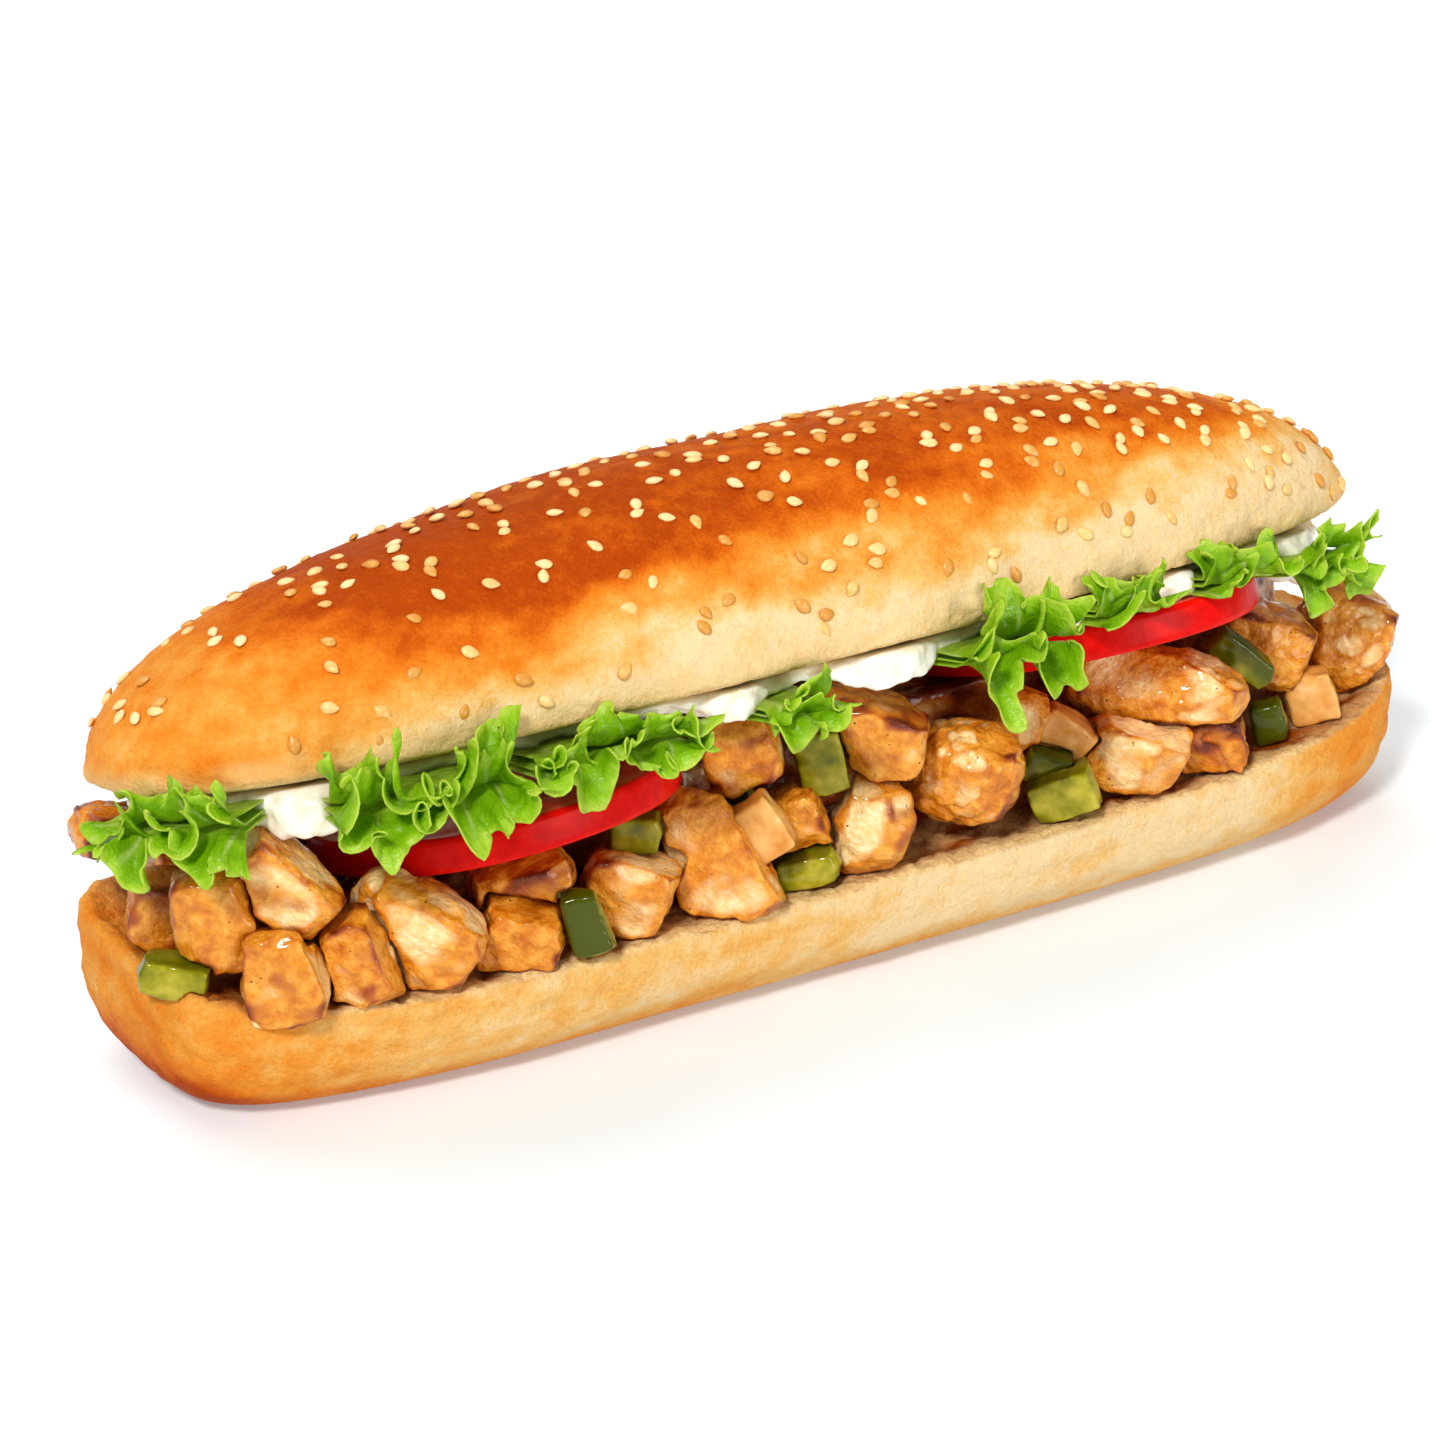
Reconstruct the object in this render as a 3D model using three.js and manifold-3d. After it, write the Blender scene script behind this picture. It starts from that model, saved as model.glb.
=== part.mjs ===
// A chicken sandwich: a long sesame roll cut in two and filled with fried chicken dice, green pepper,
// onion, two tomato slices, frilly lettuce and mayonnaise.
// Millimetres, +Z up. X runs along the roll and -Y is the front, where the sandwich gapes open.
// The origin is the middle of the underside, and the lower half of the roll rests on its flat base.

import * as THREE from "three";
import { mergeVertices } from "three/addons/utils/BufferGeometryUtils.js";
import Module from "manifold-3d";

const wasm = await Module();
wasm.setup();

// Driving dimensions.
const ROLL_LENGTH = 271;
const HEEL_WIDTH = 71;
const HEEL_RIM_HEIGHT = 20.5; // cut edge above the table at the front
const CROWN_LENGTH = 265;
const CROWN_WIDTH = 76;
const CROWN_HEIGHT = 37.5; // above its own cut face
const CROWN_GAPE = 14.5; // degrees that the crown's front edge is propped up
const CROWN_ABOVE_TABLE = 58.3; // its cut face, along the roll's middle line
const CROWN_SHIFT = -4.2; // it sits a little towards the left end
const TOMATO_DIAMETER = 69;
const TOMATO_THICKNESS = 7;
const LEAF_THICKNESS = 0.8;
const MAYONNAISE_THICKNESS = 2.6;
const SEED_SIZE = [3.8, 2.3, 2]; // long, wide, thick
const CLEARANCE = 0.4; // air kept between two pieces that lie together

const MATERIALS = {
  crust: { color: "#c98443", roughness: 0.55, metalness: 0 },
  chicken: { color: "#d9a05e", roughness: 0.4, metalness: 0 },
  pepper: { color: "#76862a", roughness: 0.3, metalness: 0 },
  onion: { color: "#dcb27c", roughness: 0.35, metalness: 0 },
  tomato: { color: "#c8201a", roughness: 0.2, metalness: 0 },
  lettuce: { color: "#78b52b", roughness: 0.45, metalness: 0 },
  mayonnaise: { color: "#f4eddc", roughness: 0.3, metalness: 0 },
};

const degrees = THREE.MathUtils.degToRad;
const power = (value, exponent) => Math.sign(value) * Math.abs(value) ** exponent;

// A number from 0 to 1 that looks random and is the same on every run.
function chance(index, stream) {
  const wild = Math.sin(index * 12.9898 + stream * 78.233) * 43758.5453;
  return wild - Math.floor(wild);
}

// Low rounded lumps, from -1 to 1, for dough and meat. A lump is about three times pitch across.
function lump(point, pitch, stream) {
  const { x, y, z } = point;
  const first = Math.sin(x / pitch + 1.7 * stream);
  const second = Math.sin((y + 0.6 * x) / (0.8 * pitch) + 2.9 * stream);
  const third = Math.sin((z - 0.5 * x) / (0.7 * pitch) + 4.3 * stream);
  return (first + second + third) / 3;
}

// Moves every point of a geometry by a function that changes the point it is given.
function reshape(geometry, move) {
  const places = geometry.getAttribute("position");
  const point = new THREE.Vector3();
  for (let i = 0; i < places.count; i++) {
    point.fromBufferAttribute(places, i);
    move(point);
    places.setXYZ(i, point.x, point.y, point.z);
  }
  return geometry;
}

// A round form turned about Z from a profile of [distance from the axis, height], bottom first.
function lathed(profile, sides) {
  const points = profile.map(([across, up]) => new THREE.Vector2(across, up));
  return new THREE.LatheGeometry(points, sides).rotateX(Math.PI / 2);
}

// A geometry as a solid, its shared points merged, in the frame that a matrix gives.
function solid(geometry, frame = new THREE.Matrix4()) {
  const bare = new THREE.BufferGeometry();
  bare.setAttribute("position", geometry.getAttribute("position").clone());
  if (geometry.index) bare.setIndex(geometry.index.clone());
  bare.applyMatrix4(frame);
  const merged = mergeVertices(bare, 1e-3);
  const corners = merged.index.array;
  const kept = [];
  for (let i = 0; i < corners.length; i += 3) {
    const [a, b, c] = corners.slice(i, i + 3);
    if (a !== b && b !== c && c !== a) kept.push(a, b, c);
  }
  const vertProperties = new Float32Array(merged.attributes.position.array);
  return new wasm.Manifold(new wasm.Mesh({ numProp: 3, vertProperties, triVerts: new Uint32Array(kept) }));
}

// The largest body of a solid, as a geometry. Loose scraps that a cut leaves are dropped.
function geometryOf(whole) {
  const [largest] = whole.decompose().sort((a, b) => b.volume() - a.volume());
  const mesh = largest.getMesh();
  const geometry = new THREE.BufferGeometry();
  geometry.setAttribute("position", new THREE.BufferAttribute(mesh.vertProperties, 3));
  geometry.setIndex(new THREE.BufferAttribute(mesh.triVerts, 1));
  return geometry;
}

const sandwich = new THREE.Group();
const placed = []; // what is already in the sandwich, each solid swollen by the clearance

// Adds a named piece, cut back from everything that already lies where it goes.
// shape(swell) gives its geometry with the surface moved out by swell.
// at is its place, and turned its tip to the front, its turn clockwise from the front, and its yaw.
function add(name, material, shape, { parent = sandwich, at = [0, 0, 0], turned: turns = [0, 0, 0] } = {}) {
  const mesh = new THREE.Mesh(shape(0), new THREE.MeshStandardMaterial(MATERIALS[material]));
  const [tip, turn, yaw] = turns.map(degrees);
  mesh.name = name;
  mesh.position.set(...at);
  mesh.rotation.set(tip, turn, yaw, "ZYX");
  parent.add(mesh);
  mesh.updateWorldMatrix(true, false);
  const frame = mesh.matrixWorld;
  const body = placed.reduce((rest, other) => rest.subtract(other), solid(mesh.geometry, frame));
  mesh.geometry = geometryOf(body).applyMatrix4(frame.clone().invert());
  placed.push(solid(shape(CLEARANCE), frame));
}

// Lower half of the roll: a boat with a flat base and rounded sides. Its cut face rises a little
// towards the back, turns up at both ends and is dished where the filling presses it.
const HEEL_SIDES = 36;
const HEEL_BASE_ROUND = 14.5;
const HEEL_PLAN_POWER = 4.2; // 2 is an ellipse in plan, and more is squarer
const HEEL_BACK_RISE = 0.08;
const HEEL_END_RISE = 7;
const HEEL_ROUND_STEPS = 5;
const HEEL_SIDE_LUMPS = 0.6;
const HEEL_FACE_LUMPS = 0.5;
const HEEL_RIM = [[0.995, 0.93], [0.97, 1], [0.88, 0.98], [0.76, 0.92], [0, 0.92]];

function heelFace(x, y) {
  const end = Math.abs(x / (ROLL_LENGTH / 2)) ** 6;
  return HEEL_RIM_HEIGHT + HEEL_BACK_RISE * (y + HEEL_WIDTH / 2) + HEEL_END_RISE * end;
}

function heelShape(swell) {
  const profile = [[0, 0]];
  for (let i = 0; i <= HEEL_ROUND_STEPS; i++) {
    const angle = (i / HEEL_ROUND_STEPS) * (Math.PI / 2);
    const inset = (HEEL_BASE_ROUND / (HEEL_WIDTH / 2)) * (1 - Math.sin(angle));
    profile.push([1 - inset, (HEEL_BASE_ROUND * (1 - Math.cos(angle))) / HEEL_RIM_HEIGHT]);
  }
  return reshape(lathed([...profile, ...HEEL_RIM], HEEL_SIDES), (point) => {
    const across = Math.hypot(point.x, point.y);
    if (across > 0) {
      const inset = (1 - across) * (HEEL_WIDTH / 2) - swell;
      const [east, north] = [point.x / across, point.y / across];
      point.x = (ROLL_LENGTH / 2 - inset) * power(east, 2 / HEEL_PLAN_POWER);
      point.y = (HEEL_WIDTH / 2 - inset) * power(north, 2 / HEEL_PLAN_POWER);
    }
    const onBase = point.z === 0;
    point.z *= heelFace(point.x, point.y);
    if (onBase) return;
    const free = Math.min(1, point.z / HEEL_BASE_ROUND);
    point.y += HEEL_SIDE_LUMPS * free * lump(point, 11, 1);
    point.z += swell + HEEL_FACE_LUMPS * free * lump(point, 8, 2);
  });
}
add("roll_heel", "crust", heelShape);

// Upper half of the roll: a domed loaf with tapering ends, propped open at the front.
const CROWN_SIDES = 40;
const CROWN_RINGS = 9;
const CROWN_PLAN_POWER = 2.7;
const CROWN_DOME_POWER = 2.3;
const CROWN_FOOT = [[0, 0], [0.93, 0], [0.985, 0.03]]; // its cut face and the rolled edge round it
const CROWN_HALVINGS = 24; // steps of the search for a point on the dome

const upper = new THREE.Group(); // the tilted frame of the crown and of the layers against it
upper.position.set(CROWN_SHIFT, 0, CROWN_ABOVE_TABLE);
upper.rotation.x = degrees(-CROWN_GAPE);
sandwich.add(upper);

// The dome at a distance along the roll and an angle round it, from 0 at the front to 180 degrees.
function onCrown(x, angle) {
  const share = Math.abs(x / (CROWN_LENGTH / 2)) ** CROWN_PLAN_POWER;
  const flat = Math.cos(angle);
  const steep = Math.sin(angle);
  let [inside, outside] = [0, 1.5];
  for (let i = 0; i < CROWN_HALVINGS; i++) {
    const out = (inside + outside) / 2;
    const plan = share + Math.abs(out * flat) ** CROWN_PLAN_POWER;
    const dome = plan ** (CROWN_DOME_POWER / CROWN_PLAN_POWER) + (out * steep) ** CROWN_DOME_POWER;
    if (dome < 1) inside = out;
    else outside = out;
  }
  return new THREE.Vector3(x, (-inside * flat * CROWN_WIDTH) / 2, inside * steep * CROWN_HEIGHT);
}

function crownLoaf(swell) {
  const profile = [...CROWN_FOOT];
  for (let i = 1; i < CROWN_RINGS; i++) {
    const angle = (i / CROWN_RINGS) * (Math.PI / 2);
    profile.push([Math.cos(angle) ** (2 / CROWN_DOME_POWER), Math.sin(angle) ** (2 / CROWN_DOME_POWER)]);
  }
  return reshape(lathed([...profile, [0, 1]], CROWN_SIDES), (point) => {
    const across = Math.hypot(point.x, point.y);
    if (across > 0) {
      const [east, north] = [point.x / across, point.y / across];
      point.x = (CROWN_LENGTH / 2 + swell) * across * power(east, 2 / CROWN_PLAN_POWER);
      point.y = (CROWN_WIDTH / 2 + swell) * across * power(north, 2 / CROWN_PLAN_POWER);
    }
    point.z = point.z > 0 ? point.z * CROWN_HEIGHT + swell : -swell;
  });
}

// Sesame seeds lie on the crust: many along the top and the right half, few low at the sides.
const SEED_TRIES = 205;
const SEED_STEPS = [0.7548777, 0.5698403]; // of an even sequence that never repeats a place
const SEED_SPAN = 0.96; // share of the roll's length that has seeds
const SEED_LOWEST = 0.05; // share of the half turn that is bare at the front and at the back
const SEED_SINK = 0.3; // how far a seed's middle lies under the crust

function seedShare(x, angle) {
  const height = Math.sin(angle);
  const alongRoll = 0.62 + (0.38 * x) / (CROWN_LENGTH / 2);
  return alongRoll * THREE.MathUtils.smoothstep(height, 0.25, 0.95);
}

function seedPlaces() {
  const places = [];
  for (let i = 0; i < SEED_TRIES; i++) {
    const [along, around] = SEED_STEPS.map((step) => ((i + 0.5) * step) % 1);
    const x = (along - 0.5) * CROWN_LENGTH * SEED_SPAN;
    const angle = Math.PI * (SEED_LOWEST + (1 - 2 * SEED_LOWEST) * around);
    if (chance(i, 1) < seedShare(x, angle)) places.push({ x, angle, turn: Math.PI * chance(i, 2) });
  }
  return places;
}

// A crown with its seeds half sunk in it, each a flat six-sided grain.
function crownShape(swell) {
  const loaf = solid(crownLoaf(swell));
  if (swell > 0) return geometryOf(loaf);
  const seeds = seedPlaces().map(({ x, angle, turn }) => {
    const here = onCrown(x, angle);
    const along = onCrown(x + 1, angle).sub(here).normalize();
    const out = along.clone().cross(onCrown(x, angle + 0.03).sub(here)).normalize();
    const side = out.clone().cross(along);
    const frame = new THREE.Matrix4().makeBasis(along, side, out);
    frame.setPosition(here.addScaledVector(out, -SEED_SINK));
    frame.multiply(new THREE.Matrix4().makeRotationZ(turn));
    const [long, wide, thick] = SEED_SIZE.map((size) => size / 2);
    return solid(lathed([[0, -1], [1, 0], [0, 1]], 6).scale(long, wide, thick), frame);
  });
  return geometryOf(seeds.reduce((whole, seed) => whole.add(seed), loaf));
}
add("roll_crown", "crust", crownShape, { parent: upper });

// Tomato slices: round discs with a rounded skin, lying under the lettuce, parallel to the crown.
const TOMATO_SIDES = 28;
const TOMATO_PROFILE = [[0, -1], [0.96, -1], [1, -0.5], [1, 0.5], [0.96, 1], [0, 1]];
const TOMATOES = [
  { at: [-60, -4, 40.5], turned: [-16, -5, 0] },
  { at: [69.5, -4, 47], turned: [-19, -2, 0] },
];

function tomatoShape(swell) {
  const radius = TOMATO_DIAMETER / 2 + swell;
  const half = TOMATO_THICKNESS / 2 + swell;
  return lathed(TOMATO_PROFILE, TOMATO_SIDES).scale(radius, radius, half);
}
TOMATOES.forEach((place, i) => add(`tomato_slice_${i + 1}`, "tomato", tomatoShape, place));

// Mayonnaise: one layer under the crown, thicker and pushed out to the edge at some places.
const MAYONNAISE_SIDES = 32;
const MAYONNAISE_PROFILE = [[0, -1], [0.7, -1], [0.93, -1], [1, -0.55], [0.95, 0], [0, 0]];
const MAYONNAISE_INSET = 7;
const MAYONNAISE_PUSH = 0.93; // how far a blob pushes the edge out, as a share of the inset
const MAYONNAISE_LUMPS = 0.5;
const MAYONNAISE_BLOBS = [
  { x: -106, width: 22, hang: 8, side: -1 },
  { x: -22, width: 14, hang: 4, side: -1 },
  { x: 11, width: 26, hang: 5, side: -1 },
  { x: 49, width: 18, hang: 3, side: -1 },
  { x: 78, width: 12, hang: 3, side: -1 },
  { x: 111, width: 20, hang: 8, side: -1 },
  { x: -70, width: 26, hang: 3, side: 1 },
  { x: 20, width: 30, hang: 4, side: 1 },
  { x: 88, width: 20, hang: 3, side: 1 },
];

function mayonnaiseShape(swell) {
  return reshape(lathed(MAYONNAISE_PROFILE, MAYONNAISE_SIDES), (point) => {
    const across = Math.hypot(point.x, point.y);
    let blob = 0;
    let hang = 0;
    if (across > 0) {
      const [east, north] = [point.x / across, point.y / across];
      point.x = across * (CROWN_LENGTH / 2) * power(east, 2 / CROWN_PLAN_POWER);
      point.y = across * (CROWN_WIDTH / 2) * power(north, 2 / CROWN_PLAN_POWER);
      for (const { x, width, hang: depth, side } of MAYONNAISE_BLOBS) {
        const near = point.y * side > 0 ? Math.exp(-(((point.x - x) / (width / 2)) ** 2)) : 0;
        blob = Math.max(blob, near);
        hang = Math.max(hang, near * depth * across ** 4);
      }
      const inset = MAYONNAISE_INSET * (1 - MAYONNAISE_PUSH * blob) - swell;
      point.x *= 1 - inset / (CROWN_LENGTH / 2);
      point.y *= 1 - inset / (CROWN_WIDTH / 2);
    }
    const depth = MAYONNAISE_THICKNESS + hang + MAYONNAISE_LUMPS * lump(point, 5, 4);
    const under = point.z < -0.5 ? -swell : swell;
    point.z = -2 * CLEARANCE + depth * point.z + under;
  });
}
add("mayonnaise", "mayonnaise", mayonnaiseShape, { parent: upper });

const BLOCK_LUMPS = 0.13;

// A cut piece of meat or vegetable: a block with rounded edges, narrower at its top by taper.
function block({ size, square, taper = 0, steps = 3 }, stream) {
  return (swell) => {
    const cube = new THREE.BoxGeometry(2, 2, 2, steps, steps, steps);
    return reshape(cube, (point) => {
      const reach = point.toArray().reduce((sum, value) => sum + Math.abs(value) ** square, 0);
      point.divideScalar(reach ** (1 / square));
      const uneven = 1 + BLOCK_LUMPS * lump(point, 0.5, stream);
      const narrow = uneven * (1 - (taper * (point.z + 1)) / 2);
      point.set(point.x * narrow, point.y * narrow, point.z * uneven);
      point.fromArray(size.map((side, i) => point.getComponent(i) * (side / 2 + swell)));
    });
  };
}

// The pieces that show at the front, from the left end to the right: fried chicken dice, with
// green pepper and onion between them. Most lie askew, broadside to the left front.
const ASKEW = -32;
const CHICKEN = [
  { at: [-131, 10, 47], size: [14, 12, 10], turned: [0, 10, 0], square: 4.6 },
  { at: [-127.5, -1, 34.5], size: [13, 13, 17], turned: [0, 0, ASKEW], square: 4.6 },
  { at: [-123.5, -16, 39], size: [16, 13, 20], turned: [0, -12, ASKEW], square: 8.5, taper: 0.1 },
  { at: [-113.5, -22, 45], size: [22, 13, 13], turned: [0, 42, ASKEW], square: 8.5 },
  { at: [-116.5, -26, 30.5], size: [16, 13, 18.5], turned: [0, -12, ASKEW], square: 8.5, taper: 0.2 },
  { at: [-102, -27, 29.5], size: [13.5, 13, 19], turned: [0, -18, ASKEW], square: 7.5, taper: 0.2 },
  { at: [-88.5, -25, 31], size: [25, 15, 17], turned: [0, 35, ASKEW], square: 5.6 },
  { at: [-68.5, -28, 26], size: [17, 13, 14], turned: [0, 10, ASKEW], square: 6.5, taper: 0.1 },
  { at: [-66, -23, 34], size: [20, 13, 11], turned: [0, -17, ASKEW], square: 6.5 },
  { at: [-46, -26, 27.5], size: [17.5, 14, 17], turned: [0, 20, ASKEW], square: 7.5 },
  { at: [-28, -27, 31], size: [23, 15, 27], turned: [0, -20, ASKEW], square: 5.6, taper: 0.42 },
  { at: [-19, -22, 49], size: [16, 13, 17], turned: [0, -17, ASKEW], square: 8.5, taper: 0.25 },
  { at: [-8, -24, 31], size: [12.5, 11, 15], turned: [0, -20, ASKEW], square: 4.6 },
  { at: [7, -25, 46.5], size: [24, 14, 13], turned: [0, 20, ASKEW], square: 6.5 },
  { at: [5, -29, 29.5], size: [16, 13, 22.5], turned: [0, 14, ASKEW], square: 2.6 },
  { at: [28, -26, 33.5], size: [22.5, 18, 21.5], turned: [0, 10, ASKEW], square: 2.6 },
  { at: [43.5, -20, 38], size: [12, 10, 13.5], turned: [0, 25, ASKEW], square: 4.6 },
  { at: [74, -23, 40], size: [40, 15, 13], turned: [0, 6, ASKEW], square: 4.6, taper: 0.2 },
  { at: [66, -27, 28.5], size: [18, 14, 15], turned: [0, 15, ASKEW], square: 6.5, taper: -0.2 },
  { at: [84.5, -26.5, 26], size: [15.5, 13, 14], turned: [0, 0, ASKEW], square: 4.2, taper: 0.1 },
  { at: [104.5, -15, 37.5], size: [21, 14, 15], turned: [0, 22, ASKEW], square: 5.6 },
  { at: [124.5, -14, 33.5], size: [19, 16, 22.5], turned: [0, 22, ASKEW], square: 4.6 },
];
const PEPPER = [
  { at: [-132, -16, 29.5], size: [13.5, 8, 7.5], turned: [0, 12, ASKEW], square: 6.5 },
  { at: [-58.8, -34, 28.4], size: [8.5, 6, 13], turned: [0, -16, ASKEW], square: 6.5, taper: 0.2 },
  { at: [-42.5, -24, 38], size: [10, 6, 8], turned: [0, 0, ASKEW], square: 6.5 },
  { at: [-20.5, -22, 38.5], size: [8, 6, 6.5], turned: [0, -20, ASKEW], square: 6.5 },
  { at: [-2.6, -24, 43], size: [9.5, 7, 12.5], turned: [0, -12, ASKEW], square: 9 },
  { at: [-7.8, -28, 23.5], size: [12, 8, 7.5], turned: [0, -15, ASKEW], square: 6.5 },
  { at: [46.8, -25, 29.5], size: [9, 6, 8], turned: [0, 20, ASKEW], square: 6.5 },
  { at: [47.5, -30, 25.8], size: [13.5, 8, 9], turned: [0, -20, ASKEW], square: 8.5 },
  { at: [94.5, -22, 39.5], size: [15, 6, 6.5], turned: [0, 38, ASKEW], square: 6.5 },
  { at: [100, -24, 25.5], size: [7, 5, 9.5], turned: [0, -15, ASKEW], square: 6.5 },
];
const ONION = [
  { at: [-20.3, -31, 36], size: [9.5, 6, 13], turned: [0, -33, ASKEW], square: 9 },
  { at: [51.5, -23, 34], size: [12, 7, 10], turned: [0, 40, ASKEW], square: 9 },
  { at: [112, -22, 26], size: [11, 8, 14], turned: [0, -15, ASKEW], square: 8.5, taper: 0.1 },
];

const COARSE_BELOW = 17.2; // a piece smaller than this has fewer faces
const STREAMS = { chicken: 10, onion: 40, pepper: 60, backDice: 80 }; // of the random draws

function addPieces(name, pieces) {
  pieces.forEach((piece, i) => {
    const number = String(i + 1).padStart(2, "0");
    const steps = Math.max(...piece.size) > COARSE_BELOW ? 3 : 2;
    add(`${name}_${number}`, name, block({ ...piece, steps }, STREAMS[name] + i), piece);
  });
}
addPieces("pepper", PEPPER);
addPieces("onion", ONION);
addPieces("chicken", CHICKEN);

// Lettuce: leaves that lie under the crown and come out past its edge in a tall ruffle.
const LEAVES = [
  { x: -127, side: -1, width: 25, root: 12, frill: 11, waves: 0.8, start: 0.55, lift: 4, drop: -4 },
  { x: -88, side: -1, width: 33, root: 16, frill: 14, waves: 1, start: 0, lift: 8, drop: -5 },
  { x: -52, side: -1, width: 30, root: 16, frill: 9, waves: 1, start: 0.5, lift: 12, drop: -5 },
  { x: -14, side: -1, width: 13, root: 12, frill: 8, waves: 0.5, start: 0.5, lift: 0, drop: -6 },
  { x: 31, side: -1, width: 21, root: 14, frill: 15, waves: 0.9, start: 0.55, lift: 14, drop: -5 },
  { x: 60, side: -1, width: 15, root: 14, frill: 9, waves: 0.5, start: 0.25, lift: 65, drop: -4 },
  { x: 88, side: -1, width: 19, root: 14, frill: 9, waves: 0.7, start: 0.15, lift: 60, drop: -4 },
  { x: 109, side: -1, width: 18, root: 12, frill: 10, waves: 0.8, start: 0.6, lift: -12, drop: -6 },
  { x: -95, side: 1, width: 38, root: 13, frill: 7, waves: 1.2, start: 0.4, lift: 12, drop: -5 },
  { x: -8, side: 1, width: 42, root: 13, frill: 8, waves: 1.2, start: 0, lift: 10, drop: -5 },
  { x: 70, side: 1, width: 40, root: 13, frill: 7, waves: 1.2, start: 0.7, lift: 12, drop: -5 },
];
const TURN_SWING = 45; // degrees that the frill turns up and down along the leaf
const FOLD_PITCH = 9; // from one fold of the frill to the next
const FOLD_DEPTH = 2.2;
const LOBE_DEPTH = 0.12; // share of the frill
const ROOT_FOLDS = 0.4;
const LEAF_FALL = 1.5; // how far the frill leans out from the crown's edge
const LEAF_SPREAD = 0.1; // how much wider a leaf is at its frill

// A leaf with its root towards +Y and its frill towards -Y, both faces with the same triangles.
function leaf({ width, root, frill, waves, start, lift }) {
  const folds = Math.max(2, Math.round(width / FOLD_PITCH));
  const columns = folds * 4;
  const rows = [root, 0, -0.5, -1]; // distance inside the crown's edge, then shares of the frill
  const spot = (column, row) => {
    const across = column / columns - 0.5;
    const fold = Math.sin(2 * Math.PI * folds * across + start * 5);
    if (row < 2) return [across * width, rows[row], ROOT_FOLDS * (1 - row) * fold];
    const out = -rows[row];
    const wave = 2 * Math.PI * (waves * (across + 0.5) + start);
    const bend = degrees(lift + TURN_SWING * Math.sin(wave));
    const far = out * frill * (1 + LOBE_DEPTH * Math.cos(3 * Math.PI * folds * across));
    const deep = fold * FOLD_DEPTH * out;
    const turn = bend * (0.5 + 0.5 * out);
    const y = -far * Math.cos(turn) - deep * Math.sin(Math.abs(turn)) - LEAF_FALL * out;
    const z = far * Math.sin(turn) + deep * Math.cos(turn);
    return [across * width * (1 + LEAF_SPREAD * out), y, z];
  };
  return (swell) => {
    const half = LEAF_THICKNESS / 2 + swell;
    const wide = columns + 1;
    const sheet = new THREE.PlaneGeometry(1, 1, columns, rows.length - 1);
    const places = sheet.getAttribute("position");
    for (let i = 0; i < places.count; i++) places.setXYZ(i, ...spot(i % wide, Math.floor(i / wide)));
    sheet.computeVertexNormals();
    const normals = sheet.getAttribute("normal");
    const corners = [...sheet.index.array];
    const spots = [];
    for (const side of [half, -half]) {
      for (let i = 0; i < places.count; i++) {
        spots.push(places.getX(i) + side * normals.getX(i));
        spots.push(places.getY(i) + side * normals.getY(i));
        spots.push(places.getZ(i) + side * normals.getZ(i));
      }
    }
    const faces = [...corners];
    for (let i = 0; i < corners.length; i += 3) {
      const [a, b, c] = corners.slice(i, i + 3);
      faces.push(c + places.count, b + places.count, a + places.count);
    }
    const last = places.count - 1;
    const rim = [];
    for (let i = 0; i < columns; i++) rim.push([i, i + 1], [last - i, last - i - 1]);
    for (let i = 0; i < last - columns; i += wide) rim.push([i + wide, i], [last - i - wide, last - i]);
    for (const [a, b] of rim) faces.push(a, b, b + places.count, a, b + places.count, a + places.count);
    const whole = new THREE.BufferGeometry();
    whole.setAttribute("position", new THREE.Float32BufferAttribute(spots, 3));
    whole.setIndex(faces);
    return whole;
  };
}

// The crown's edge at a distance along the roll, at the front or the back, and which way it faces.
function crownEdge(x, side) {
  const share = (at) => Math.abs(at / (CROWN_LENGTH / 2)) ** CROWN_PLAN_POWER;
  const edge = (at) => (1 - share(at)) ** (1 / CROWN_PLAN_POWER);
  const y = (side * edge(x) * CROWN_WIDTH) / 2;
  const slope = ((edge(x + 1) - edge(x - 1)) * CROWN_WIDTH) / 4;
  const yaw = THREE.MathUtils.radToDeg(Math.atan(side * slope)) + (side > 0 ? 180 : 0);
  return { y, yaw };
}
LEAVES.forEach((piece, i) => {
  const { y, yaw } = crownEdge(piece.x, piece.side);
  const at = [piece.x, y + LEAF_FALL * piece.side, piece.drop];
  const place = { parent: upper, at, turned: [0, 0, yaw] };
  add(`lettuce_leaf_${String(i + 1).padStart(2, "0")}`, "lettuce", leaf(piece), place);
});

// The bed of chicken that runs through the sandwich, behind the pieces of the front: a core
// between the cut faces, lower under the tomato slices, with the dice that show at the back.
const BED_FRONT = -9;
const BED_BACK = 27;
const BED_LENGTH = 246;
const BED_COLUMNS = 18;
const BED_TOP = 9.5; // below the crown's cut face
const BED_FLARE = 0.94; // its top is this much narrower than its base
const BACK_DICE = 11;
const BACK_DICE_AT = { y: 26.5, endInset: 9, z: 34 };
const BACK_DICE_SWING = 40; // degrees from the dice turned most one way to the other
const BACK_DICE_CORNER_YAW = 30; // degrees more at the ends of the roll

function bedTop(x, y) {
  const open = CROWN_ABOVE_TABLE - y * Math.tan(degrees(CROWN_GAPE)) - BED_TOP;
  const under = TOMATOES.map(({ at, turned: [tip, turn] }) => {
    if (Math.abs(x - at[0]) > TOMATO_DIAMETER / 2 + BED_LENGTH / BED_COLUMNS) return open;
    const rise = (y - at[1]) * Math.tan(degrees(tip)) - (x - at[0]) * Math.tan(degrees(turn));
    return at[2] + rise - TOMATO_THICKNESS / 2 - 4 * CLEARANCE;
  });
  return Math.min(open, ...under);
}

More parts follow.
